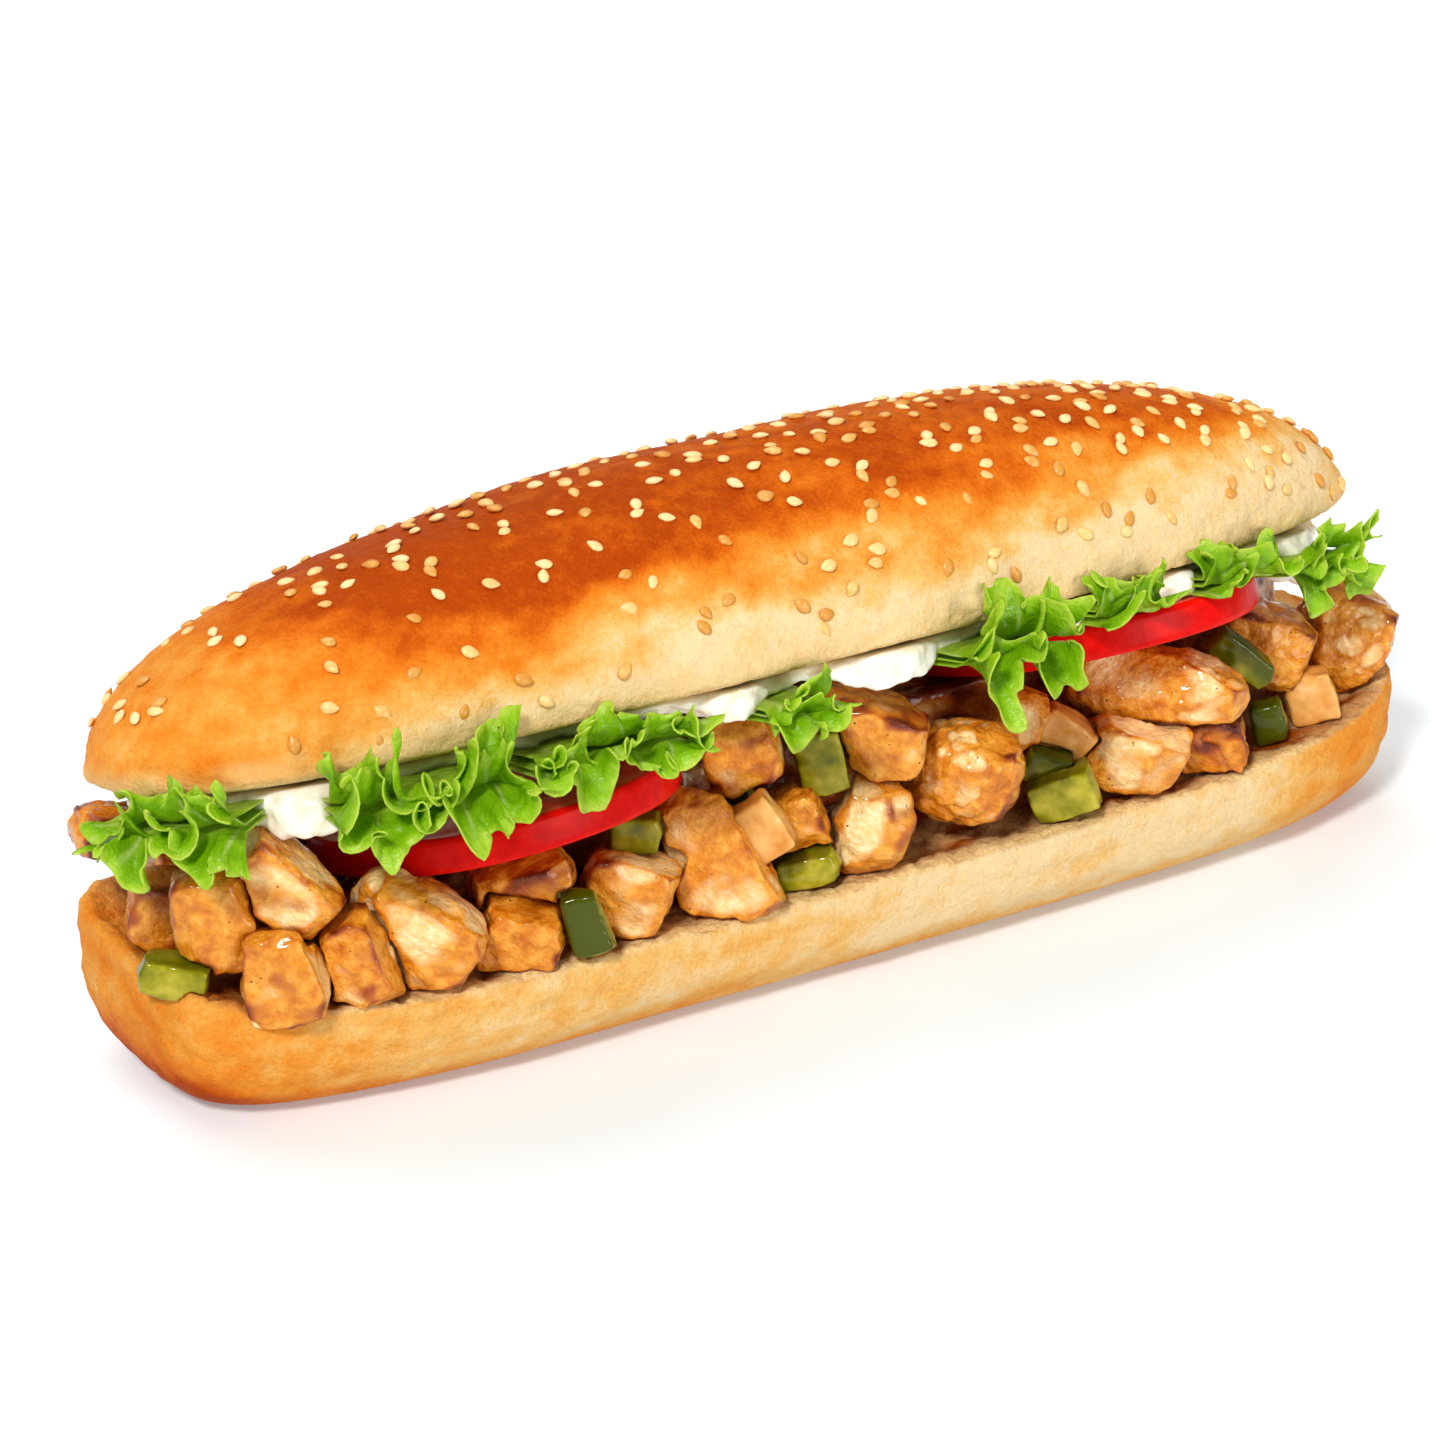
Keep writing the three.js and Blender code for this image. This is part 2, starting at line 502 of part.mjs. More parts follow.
function bedShape() {
  const core = reshape(new THREE.BoxGeometry(2, 2, 2, BED_COLUMNS, 2, 2), (point) => {
    const half = ((BED_BACK - BED_FRONT) / 2) * (1 - 0.8 * Math.abs(point.x) ** 7);
    const x = (point.x * BED_LENGTH) / 2;
    const y = (BED_FRONT + BED_BACK) / 2 + half * point.y * (point.z > 0 ? BED_FLARE : 1);
    const low = heelFace(x, y) + 2 * CLEARANCE;
    point.set(x, y, low + ((bedTop(x, y) - low) * (point.z + 1)) / 2);
  });
  let whole = solid(core);
  for (let i = 0; i < BACK_DICE; i++) {
    const share = (2 * i + 1) / BACK_DICE - 1;
    const size = [19 + 4 * chance(i, 11), 14, 11.5 + 2.5 * chance(i, 12)];
    const cut = block({ size, square: 6.5, steps: 2 }, STREAMS.backDice + i)(0);
    const [turn, yaw] = [13, 14].map((stream) => BACK_DICE_SWING * (chance(i, stream) - 0.5));
    cut.rotateY(degrees(turn));
    cut.rotateZ(degrees(yaw - BACK_DICE_CORNER_YAW * share ** 5));
    const y = BACK_DICE_AT.y - BACK_DICE_AT.endInset * Math.abs(share) ** 5;
    cut.translate((share * BED_LENGTH) / 2, y, BACK_DICE_AT.z + chance(i, 16));
    whole = whole.add(solid(cut));
  }
  return geometryOf(whole);
}
add("chicken_bed", "chicken", bedShape);

// The origin moves to the middle of the underside.
const bounds = new THREE.Box3().setFromObject(sandwich, true);
const middle = bounds.getCenter(new THREE.Vector3());
sandwich.position.set(-middle.x, -middle.y, -bounds.min.z);

export default sandwich;
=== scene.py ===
import math

import bmesh
import bpy
import numpy as np
from mathutils import Euler, Matrix, Vector


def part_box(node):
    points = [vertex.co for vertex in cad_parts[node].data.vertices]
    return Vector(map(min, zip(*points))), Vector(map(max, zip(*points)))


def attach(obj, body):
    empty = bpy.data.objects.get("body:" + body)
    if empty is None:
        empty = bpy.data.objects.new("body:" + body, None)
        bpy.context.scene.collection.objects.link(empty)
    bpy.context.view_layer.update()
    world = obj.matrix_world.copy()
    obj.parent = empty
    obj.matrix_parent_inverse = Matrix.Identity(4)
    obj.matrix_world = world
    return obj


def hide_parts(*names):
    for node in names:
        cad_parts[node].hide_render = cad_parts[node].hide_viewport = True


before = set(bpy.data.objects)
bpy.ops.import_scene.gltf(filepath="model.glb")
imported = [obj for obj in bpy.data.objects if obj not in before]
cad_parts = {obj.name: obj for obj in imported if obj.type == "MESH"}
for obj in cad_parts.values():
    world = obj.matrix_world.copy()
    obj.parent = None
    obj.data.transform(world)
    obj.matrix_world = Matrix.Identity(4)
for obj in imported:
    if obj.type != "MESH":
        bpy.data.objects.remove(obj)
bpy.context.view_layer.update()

# The place to lay the sandwich down: a white acrylic sheet under a big soft light from the upper
# left, seen by a long lens from the left front and a little above, as a menu picture is taken.
MM = 0.001
scene = bpy.context.scene
heel_low, heel_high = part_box("roll_heel")
MIDDLE = Vector(((heel_low.x + heel_high.x) / 2, (heel_low.y + heel_high.y) / 2, 0)) / MM

CAMERA_TARGET = MIDDLE + Vector((-9.3, 0, 42.8))
CAMERA_DISTANCE = 1157
CAMERA_AZIMUTH, CAMERA_ELEVATION = math.radians(-32), math.radians(24.5)
CAMERA_LENS, CAMERA_FILM = 155.8, 36


def seen_from(azimuth, elevation):
    flat = math.cos(elevation)
    return Vector((math.sin(azimuth) * flat, -math.cos(azimuth) * flat, math.sin(elevation)))


def aim(thing, place, target):
    thing.location = place * MM
    thing.rotation_euler = (place - target).to_track_quat("Z", "Y").to_euler()
    scene.collection.objects.link(thing)


camera_data = bpy.data.cameras.new("camera")
camera_data.lens = CAMERA_LENS
camera_data.sensor_width = CAMERA_FILM
camera_data.clip_end = 20
camera = bpy.data.objects.new("camera", camera_data)
camera_side = seen_from(CAMERA_AZIMUTH, CAMERA_ELEVATION)
aim(camera, CAMERA_TARGET + camera_side * CAMERA_DISTANCE, CAMERA_TARGET)
scene.camera = camera
scene.view_settings.view_transform = "Standard"
scene.view_settings.look = "Medium High Contrast"


LIGHT_DISTANCE = 900


def add_light(name, azimuth, elevation, spread, strength):
    lamp = bpy.data.lights.new(name, "SUN")
    lamp.angle = math.radians(spread)
    lamp.energy = strength
    side = seen_from(math.radians(azimuth), math.radians(elevation))
    aim(bpy.data.objects.new(name, lamp), MIDDLE + side * LIGHT_DISTANCE, MIDDLE)


add_light("soft_key", azimuth=-50, elevation=43, spread=10, strength=2.05)
add_light("front_fill", azimuth=16, elevation=12, spread=30, strength=0.95)
add_light("back_light", azimuth=190, elevation=62, spread=50, strength=1.2)


def add_node(tree, kind, inputs=None, stops=None, **settings):
    """Adds a node. An input is a value, or the socket that it is linked from."""
    made = tree.nodes.new(kind)
    for name, value in settings.items():
        setattr(made, name, value)
    for name, value in (inputs or {}).items():
        if isinstance(value, bpy.types.NodeSocket):
            tree.links.new(value, made.inputs[name])
        else:
            made.inputs[name].default_value = value
    if stops:
        made.color_ramp.elements.remove(made.color_ramp.elements[1])
    for index, (place, colour) in enumerate(stops or []):
        stop = made.color_ramp.elements.new(place) if index else made.color_ramp.elements[0]
        stop.position = place
        stop.color = colour
    return made


def linear(hex_colour):
    """An sRGB hex colour, turned to the linear colour that the shader reads."""
    parts = [int(hex_colour[i : i + 2], 16) / 255 for i in (1, 3, 5)]
    return [c / 12.92 if c <= 0.04045 else ((c + 0.055) / 1.055) ** 2.4 for c in parts] + [1]


def new_material(name):
    material = bpy.data.materials.new(name)
    material.use_nodes = True
    return material, material.node_tree, material.node_tree.nodes["Principled BSDF"]


world = bpy.data.worlds.new("studio")
world.use_nodes = True
world.node_tree.nodes["Background"].inputs["Color"].default_value = (1, 1, 1, 1)
world.node_tree.nodes["Background"].inputs["Strength"].default_value = 0.28
scene.world = world

FLOOR_REACH = 3000

# Matt white acrylic, lit a little from below: it takes a soft shadow and no gloss.
acrylic, tree, shader = new_material("white_acrylic")
shader.inputs["Base Color"].default_value = linear("#d6dbde")
shader.inputs["Roughness"].default_value = 0.9
shader.inputs["Specular IOR Level"].default_value = 0.1
shader.inputs["Emission Color"].default_value = (1, 1, 1, 1)
shader.inputs["Emission Strength"].default_value = 0.2
sheet = bmesh.new()
bmesh.ops.create_grid(sheet, x_segments=2, y_segments=2, size=FLOOR_REACH * MM)
floor_mesh = bpy.data.meshes.new("white_floor")
sheet.to_mesh(floor_mesh)
sheet.free()
floor_mesh.materials.append(acrylic)
floor = bpy.data.objects.new("white_floor", floor_mesh)
scene.collection.objects.link(floor)


# The lower half of the roll: soft white bread baked in a long tin row, cut through with a knife.
# Its crust is golden at the ends and the base and pale along the side, where it touched the next
# roll, and its cut face is open crumb, stained by the filling's juices and painted darker with the
# shade under the dice. The low front of its left end is painted darker too, as painted shade.
ROLL_LENGTH = 271
HEEL_WIDTH = 71
HEEL_RIM_HEIGHT = 20.5
HEEL_BASE_ROUND = 14.5
HEEL_PLAN_POWER = 4.2
HEEL_BACK_RISE = 0.08
HEEL_END_RISE = 7
BREAD_VOXEL = 0.85
BREAD_SIDES = 240
CRUMB_PORE = 1.6


def power(value, exponent):
    return np.sign(value) * np.abs(value) ** exponent


WILD_TURNS = np.array([12.9898, 78.233, 37.719])
WILD_SCALE = 43758.5453


def chance(index, stream):
    """A number from 0 to 1 that looks random and is the same on every run."""
    wild = np.sin(index * WILD_TURNS[0] + stream * WILD_TURNS[1]) * WILD_SCALE
    return wild - np.floor(wild)


def lump(places, pitch, stream):
    """Low rounded lumps from -1 to 1, the same as those of the solids."""
    x, y, z = places.T
    first = np.sin(x / pitch + 1.7 * stream)
    second = np.sin((y + 0.6 * x) / (0.8 * pitch) + 2.9 * stream)
    return (first + second + np.sin((z - 0.5 * x) / (0.7 * pitch) + 4.3 * stream)) / 3


LATTICE = np.array(Euler((0.6, 0.8, 0.5)).to_matrix())


def grain(places, size, stream=0):
    """Smooth noise from -1 to 1 whose blotches are about size across, a number or one per axis."""
    spot = (places / np.array(size)) @ LATTICE + 13.7 * stream
    cell = np.floor(spot)
    near = spot - cell
    near = near * near * (3 - 2 * near)
    total = 0
    for corner in np.ndindex(2, 2, 2):
        mixed = np.sin((cell + corner) @ WILD_TURNS) * WILD_SCALE
        weight = np.prod(np.where(corner, near, 1 - near), axis=1)
        total = total + (mixed - np.floor(mixed)) * weight
    return 2 * total - 1


def step(low, high, value):
    share = np.clip((value - low) / (high - low), 0, 1)
    return share * share * (3 - 2 * share)


def places_of(mesh):
    flat = np.empty(len(mesh.vertices) * 3)
    mesh.vertices.foreach_get("co", flat)
    return flat.reshape(-1, 3) / MM


def put_places(mesh, places):
    mesh.vertices.foreach_set("co", (places * MM).ravel())
    mesh.update()


def normals_of(mesh):
    flat = np.empty(len(mesh.vertices) * 3)
    mesh.vertex_normals.foreach_get("vector", flat)
    return flat.reshape(-1, 3)


def put_share(mesh, name, values):
    """Keeps one number for each point of a mesh, for its material to read."""
    mesh.attributes.new(name, "FLOAT", "POINT").data.foreach_set("value", values.astype(np.float32))


def relaxed(mesh, places, rounds):
    """The places after each point has moved halfway to its neighbours' middle, some rounds over."""
    ends = np.empty(len(mesh.edges) * 2, np.int32)
    mesh.edges.foreach_get("vertices", ends)
    one, other = ends.reshape(-1, 2).T
    size = len(places)
    count = np.bincount(one, minlength=size) + np.bincount(other, minlength=size)
    for _ in range(rounds):
        sums = [
            np.bincount(one, places[other, k], size) + np.bincount(other, places[one, k], size)
            for k in range(places.shape[1])
        ]
        places = 0.5 * places + 0.5 * np.stack(sums, 1) / count[:, None]
    return places


def evened(mesh, voxel):
    """A mesh of even small faces over the same form."""
    rough = bpy.data.objects.new("rough", mesh)
    scene.collection.objects.link(rough)
    modifier = rough.modifiers.new("even", "REMESH")
    modifier.mode = "VOXEL"
    modifier.voxel_size = voxel * MM
    graph = bpy.context.evaluated_depsgraph_get()
    fine = bpy.data.meshes.new_from_object(rough.evaluated_get(graph))
    bpy.data.objects.remove(rough)
    return fine


def spun(profile, sides):
    """A round form turned about Z from a profile of (distance from the axis, height)."""
    form = bmesh.new()
    points = [form.verts.new((across, 0, up)) for across, up in profile]
    line = [form.edges.new(pair) for pair in zip(points, points[1:])]
    round_z = dict(cent=(0, 0, 0), axis=(0, 0, 1), angle=2 * math.pi)
    bmesh.ops.spin(form, geom=points + line, steps=sides, use_merge=True, **round_z)
    bmesh.ops.remove_doubles(form, verts=form.verts, dist=1e-5)
    bmesh.ops.recalc_face_normals(form, faces=form.faces)
    mesh = bpy.data.meshes.new("turned")
    form.to_mesh(mesh)
    form.free()
    return mesh


def add_piece(name, mesh, material, slot_name, *nodes):
    """Puts a finished mesh in the sandwich, in the place of the solids that it stands for."""
    mesh.materials.clear()
    mesh.materials.append(material)
    mesh.shade_smooth()
    mesh.name = name
    piece = bpy.data.objects.new(name, mesh)
    scene.collection.objects.link(piece)
    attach(piece, "root")
    if nodes:
        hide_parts(*nodes)
    return piece


def heel_face(x, y):
    end = np.abs(x / (ROLL_LENGTH / 2)) ** 6
    return HEEL_RIM_HEIGHT + HEEL_BACK_RISE * (y + HEEL_WIDTH / 2) + HEEL_END_RISE * end


def heel_form(places):
    """Moves a round form of radius and height 1 to the boat shape of the heel."""
    x, y, z = places.T
    across = np.maximum(np.hypot(x, y), 1e-9)
    inset = (1 - across) * HEEL_WIDTH / 2
    middle = across > 1e-6
    x = (ROLL_LENGTH / 2 - inset) * power(x / across, 2 / HEEL_PLAN_POWER) * middle
    y = (HEEL_WIDTH / 2 - inset) * power(y / across, 2 / HEEL_PLAN_POWER) * middle
    return np.stack([x, y, z * heel_face(x, y)], 1)


round_steps = np.linspace(0, math.pi / 2, 14)
base_round = HEEL_BASE_ROUND / (HEEL_WIDTH / 2)
heel_profile = [(0, 0), (0.3, 0)]
heel_profile += [
    (1 - base_round * (1 - math.sin(a)), HEEL_BASE_ROUND * (1 - math.cos(a)) / HEEL_RIM_HEIGHT)
    for a in round_steps
]
heel_profile += [(1.002, 0.83), (0.997, 0.93), (0.985, 0.985), (0.96, 1)]
heel_profile += [(0.88, 0.975), (0.76, 0.93), (0.4, 0.92), (0, 0.92)]
heel = spun(heel_profile, BREAD_SIDES)
put_places(heel, heel_form(places_of(heel) * MM))
heel = evened(heel, BREAD_VOXEL)
spots = relaxed(heel, places_of(heel), 3)
put_places(heel, spots)
face = normals_of(heel)
across_end = np.abs(spots[:, 0] / (ROLL_LENGTH / 2))
above_cut = spots[:, 2] - 0.93 * heel_face(spots[:, 0], spots[:, 1])
cut = step(0.55, 0.85, face[:, 2]) * step(-2.2, -0.8, above_cut)
firm = step(0.3, 6, spots[:, 2])
upper_wall = step(0.45, 0.85, spots[:, 2] / HEEL_RIM_HEIGHT) * (1 - cut)
pores = step(0.1, 0.7, grain(spots, CRUMB_PORE, 1)) * 0.6
pores += step(0.1, 0.8, grain(spots, 0.6 * CRUMB_PORE, 2)) * 0.4
skin = 0.45 * lump(spots, 9, 2) + 0.28 * grain(spots, (9, 5, 3), 3) + 0.16 * grain(spots, 2, 4)
skin += upper_wall * (0.4 * grain(spots, (4, 3, 2.2), 11) + 0.2 * grain(spots, 1.6, 12))
torn = 0.9 * grain(spots, 5, 5) + 0.5 * grain(spots, 2.6, 13)
spots += face * (firm * (skin * (1 - cut) - cut * pores + 0.6 * cut * torn))[:, None]
put_places(heel, spots + np.array(MIDDLE))
height = np.clip(spots[:, 2] / HEEL_RIM_HEIGHT, 0, 1.5)
along = spots[:, 0] / (ROLL_LENGTH / 2)
crust_darkness = 0.2 - 0.16 * step(-0.6, 0.3, along) + 0.24 * step(-0.55, -0.9, along + 0.05 * grain(spots, 9, 6))
# Painted shade: the low front of the left end is painted darker, for the shade under its curve.
crust_darkness += 0.3 * step(-0.86, -0.99, along) * step(0.95, 0.3, height)
crust_darkness += 0.3 * step(-0.8, -0.97, along) * step(0.6, 0.2, height)
crust_darkness += 0.42 * step(0.64, 0.9, along) + 0.4 * step(0.42, 0.02, height) * (0.6 + 0.4 * step(0, -0.9, along))
crust_darkness += 0.12 * grain(spots, (18, 9, 7), 7) + 0.1 * grain(spots, (5, 3, 3), 8) + 0.05 * grain(spots, 1.8, 10)
cut = cut * step(-0.98, -0.8, along) * step(0.998, 0.95, along)
# Where the dice lie on the cut face it is coloured sauce brown: partly a real sauce stain, partly painted
# shade under the dice.
under_dice = step(HEEL_WIDTH / 2 - 3, HEEL_WIDTH / 2 - 8, np.abs(spots[:, 1]) + 1.5 * grain(spots, 4, 14))
under_dice *= step(0.97, 0.9, across_end)
sauce_and_shade = under_dice * (0.5 + 0.5 * step(-0.2, 0.5, grain(spots, (7, 3, 3), 9)))
put_share(heel, "crust_darkness", np.clip(crust_darkness, 0, 1))
put_share(heel, "cut", cut)
put_share(heel, "sauce_and_shade", np.clip(sauce_and_shade, 0, 1) * step(0.5, 0.9, face[:, 2]))


def object_spot(tree):
    return add_node(tree, "ShaderNodeTexCoord").outputs["Object"]


def share_of(tree, name):
    """The number that put_share keeps for each point."""
    return add_node(tree, "ShaderNodeAttribute", attribute_name=name).outputs["Fac"]


def noise(tree, spot, pitch, detail, roughness=0.5):
    """Cloudy noise whose largest blotches are about the pitch across, in millimetres."""
    inputs = {"Vector": spot, "Scale": 1 / (pitch * MM), "Detail": detail, "Roughness": roughness}
    return add_node(tree, "ShaderNodeTexNoise", inputs).outputs["Fac"]


def weighed(tree, value, weight, added):
    """The value times its weight, with something added."""
    inputs = {0: value, 1: weight, 2: added}
    return add_node(tree, "ShaderNodeMath", inputs, operation="MULTIPLY_ADD").outputs[0]


def rising(tree, value, low, high):
    """0 where the value is low and 1 where it is high."""
    inputs = {"Value": value, "From Min": low, "From Max": high}
    return add_node(tree, "ShaderNodeMapRange", inputs).outputs[0]


def ramp(tree, level, stops):
    return add_node(tree, "ShaderNodeValToRGB", {"Fac": level}, stops=stops).outputs[0]


def blend(tree, share, one, other):
    """One colour where the share is 0, and the other where it is 1."""
    return add_node(tree, "ShaderNodeMix", {0: share, 6: one, 7: other}, data_type="RGBA").outputs[2]


def relief(tree, height, strength, depth):
    """Fine relief of a depth in millimetres, for a shader's normal."""
    inputs = {"Height": height, "Strength": strength, "Distance": depth * MM}
    return add_node(tree, "ShaderNodeBump", inputs).outputs[0]


CRUST_COLOURS = [
    (0.0, linear("#ecd0a2")),
    (0.2, linear("#e9b970")),
    (0.4, linear("#e69d44")),
    (0.58, linear("#e08528")),
    (0.78, linear("#d06a14")),
    (1.0, linear("#b14b08")),
]


def bread_crust(name, peel):
    """Baked bread crust: a dry thin skin with fine wrinkles and pores, mottled where it browned."""
    material, tree, shader = new_material(name)
    spot = object_spot(tree)
    blotches = noise(tree, spot, pitch=3.3, detail=6, roughness=0.7)
    specks = noise(tree, spot, pitch=0.77, detail=4, roughness=0.7)
    uneven = weighed(tree, blotches, 0.36, share_of(tree, "crust_darkness"))
    finer = weighed(tree, specks, 0.4, uneven)
    level = add_node(tree, "ShaderNodeMath", {0: finer, 1: 0.38}, operation="SUBTRACT").outputs[0]
    browned = ramp(tree, level, CRUST_COLOURS)
    crumb = ramp(tree, specks, [(0.3, linear("#dfaf6a")), (0.5, linear("#edca92")), (0.8, linear("#f6ddb0"))])
    opened = blend(tree, share_of(tree, "cut"), browned, crumb)
    # The sauce brown stands for a real stain and also for painted shade under the dice.
    sauced_and_shaded = blend(tree, share_of(tree, "sauce_and_shade"), opened, linear("#a45008"))
    wrinkles = noise(tree, spot, pitch=1.4, detail=5, roughness=0.68)
    tree.links.new(sauced_and_shaded, shader.inputs["Base Color"])
    tree.links.new(relief(tree, wrinkles, peel, depth=1.1), shader.inputs["Normal"])
    shader.inputs["Roughness"].default_value = 0.5
    shader.inputs["Specular IOR Level"].default_value = 0.06
    shader.inputs["Subsurface Weight"].default_value = 0.08
    shader.inputs["Subsurface Radius"].default_value = (1, 0.5, 0.25)
    shader.inputs["Subsurface Scale"].default_value = 0.0025
    return material


heel_crust = bread_crust("baked_bread_crust_pale", peel=0.9)
add_piece("bread_heel", heel, heel_crust, "crust", "roll_heel")


# Fried chicken dice: breast meat cut in cubes, tossed in a spiced oil and seared in a pan, so that
# the edges and some sides are brown and glazed, and the cut sides stay pale with their fibres.
# Their undersides and creases, and the front of the bed of dice, are darkened with painted shade.
MEAT_VOXEL = 0.5
BED_VOXEL = 0.65
KNIFE_CUTS = 10
KNIFE_DEPTH = 0.07
FLESH_COLOURS = [(0.3, linear("#ecba74")), (0.5, linear("#f4cd90")), (0.72, linear("#fbe4bc"))]
GLAZE_COLOURS = [(0.3, linear("#bc660a")), (0.5, linear("#d98a20")), (0.7, linear("#ecac48"))]


def solid_copy(name):
    """The merged mesh of a solid, as a start for the real surface."""
    form = bmesh.new()
    form.from_mesh(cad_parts[name].data)
    bmesh.ops.remove_doubles(form, verts=form.verts, dist=1e-6)
    mesh = bpy.data.meshes.new(name)
    form.to_mesh(mesh)
    form.free()
    return mesh


def seared_meat():
    """Seared chicken breast: fine pale fibres, an amber glaze that shines, and char spots. The glaze and char
    shares also carry painted shade.
    """
    material, tree, shader = new_material("seared_chicken_breast")
    spot = object_spot(tree)
    turned = add_node(tree, "ShaderNodeMapping", {"Vector": spot, "Rotation": (0.3, 0.9, 0.5)}).outputs[0]
    drawn_out = add_node(tree, "ShaderNodeVectorMath", {0: turned, 1: (1, 1, 0.5)}, operation="MULTIPLY")
    fibres = noise(tree, drawn_out.outputs[0], pitch=0.9, detail=4, roughness=0.6)
    blotches = noise(tree, spot, pitch=3, detail=5, roughness=0.62)
    flesh = ramp(tree, fibres, FLESH_COLOURS)
    glaze = ramp(tree, blotches, GLAZE_COLOURS)
    coat = rising(tree, weighed(tree, blotches, 0.5, share_of(tree, "seared_and_shade")), 0.42, 0.76)
    glazed = blend(tree, coat, flesh, glaze)
    burnt_level = weighed(tree, blotches, 0.36, share_of(tree, "char_and_shade"))
    toasted = blend(tree, rising(tree, burnt_level, 0.34, 0.68), glazed, linear("#a85208"))
    char_and_shade = blend(tree, rising(tree, burnt_level, 0.68, 0.95), toasted, linear("#6a2602"))
    pepper = add_node(tree, "ShaderNodeTexVoronoi", {"Vector": spot, "Scale": 1 / (2.4 * MM)})
    speck = rising(tree, pepper.outputs["Distance"], 0.11, 0.06)
    some = rising(tree, blotches, 0.5, 0.54)
    few = add_node(tree, "ShaderNodeMath", {0: speck, 1: some}, operation="MULTIPLY").outputs[0]
    spiced = blend(tree, few, char_and_shade, linear("#4a2408"))
    gloss = add_node(tree, "ShaderNodeMapRange", {"Value": coat, "To Min": 0.36, "To Max": 0.24})
    uneven = weighed(tree, fibres, 0.45, blotches)
    tree.links.new(spiced, shader.inputs["Base Color"])
    tree.links.new(gloss.outputs[0], shader.inputs["Roughness"])
    tree.links.new(relief(tree, uneven, 0.85, depth=1.2), shader.inputs["Normal"])
    shader.inputs["Subsurface Weight"].default_value = 0.05
    shader.inputs["Subsurface Radius"].default_value = (1, 0.6, 0.3)
    shader.inputs["Subsurface Scale"].default_value = 0.002
    shader.inputs["Specular IOR Level"].default_value = 0.3
    shader.inputs["Coat Weight"].default_value = 0.6
    shader.inputs["Coat Roughness"].default_value = 0.12
    return material


def knife_cuts(spots, index, cuts, depth):
    """Flattens a block along some planes, as a knife leaves it."""
    middle = spots.mean(0)
    for k in range(cuts):
        turn, up = 2.4 * k + 6 * chance(index, 41), 1 - 2 * (k + 0.5) / cuts
        flat = math.sqrt(1 - up * up)
        way = np.array((math.cos(turn) * flat, math.sin(turn) * flat, up))
        reach = (spots - middle) @ way
        over = np.maximum(reach - reach.max() + depth * (0.4 + 0.9 * chance(index, 50 + k)), 0)
        spots = spots - 0.9 * over[:, None] * way
    return spots


def meat_mesh(
    name, index, glazed=0.0, char_and_shade=0.0, craggy=0.0, cuts=KNIFE_CUTS, in_shade=0.0, voxel=MEAT_VOXEL
):
    """Turns a cut block into meat: flat sides, uneven faces, and how far each point is browned and blackened,
    with painted shade added to both on the faces turned down, in the creases and, where in_shade is given,
    toward the front.
    """
    mesh = evened(solid_copy(name), voxel)
    spots = relaxed(mesh, places_of(mesh), 3)
    if cuts:
        spots = knife_cuts(spots, index, cuts, KNIFE_DEPTH * np.ptp(spots, axis=0).mean())
    spots = relaxed(mesh, spots, 2)
    put_places(mesh, spots)
    face = normals_of(mesh)
    hollow = relaxed(mesh, spots, 30)
    edge = np.sum((spots - hollow) * face, axis=1)
    edge = np.clip(edge / (np.percentile(np.abs(edge), 92) + 1e-6), -1, 1.3)
    fibre = np.array([chance(index, 21) - 0.5, chance(index, 22) - 0.5, chance(index, 23) - 0.2])
    along = spots @ (fibre / np.linalg.norm(fibre))
    strands = np.stack([spots[:, 0], spots[:, 1] + 0.7 * along, spots[:, 2] - 0.4 * along], 1)
    uneven = 0.4 * grain(spots, 5.5, index) + 0.3 * grain(spots, 2.6, index + 40)
    uneven += 0.14 * grain(strands, (3.5, 1.1, 1.1), index + 80) + 0.15 * grain(spots, 1.5, index + 85)
    bent = spots + 1.6 * np.stack([grain(spots, 5, index + k) for k in (93, 94, 95)], 1)
    uneven -= craggy * (0.45 * step(0.3, 0.0, np.abs(grain(bent, 3.2, index + 90))) - 0.15)
    uneven -= 0.16 * step(0.25, 0.0, np.abs(grain(bent, (4.5, 1.8, 2.2), index + 97)))
    spots += face * (uneven - 0.1)[:, None]
    spots = relaxed(mesh, spots, 1)
    put_places(mesh, spots)
    side = Vector((chance(index, 24) - 0.5, chance(index, 25) - 0.8, chance(index, 26) - 0.4)).normalized()
    pan_side = step(0.1, 0.8, face @ np.array(side))
    # Painted shade: the creases and the faces turned down are painted browner and darker, for the shade that
    # falls there.
    crease_shade = np.clip(-0.9 * uneven, 0, 0.5) * min(craggy, 1)
    underside_shade = step(-0.15, -0.75, face[:, 2])
    seared_and_shade = 0.2 + 0.5 * edge + 0.22 * pan_side + 0.4 * grain(spots, (7, 4, 4), index + 120) + 0.8 * glazed
    seared_and_shade += 0.35 * underside_shade + crease_shade
    char_and_shade_level = 0.5 * edge + 0.16 * pan_side + 0.7 * grain(spots, (7, 2.6, 3), index + 160) - 0.42 + char_and_shade
    # Painted shade: in_shade darkens the front of a piece, for the shade in the gaps between the front dice.
    char_and_shade_level += 0.3 * underside_shade + 0.6 * crease_shade + in_shade * step(14, 2, spots[:, 1] - MIDDLE.y)
    put_share(mesh, "seared_and_shade", np.clip(seared_and_shade, 0, 1))
    put_share(mesh, "char_and_shade", np.clip(char_and_shade_level, 0, 1))
    return mesh


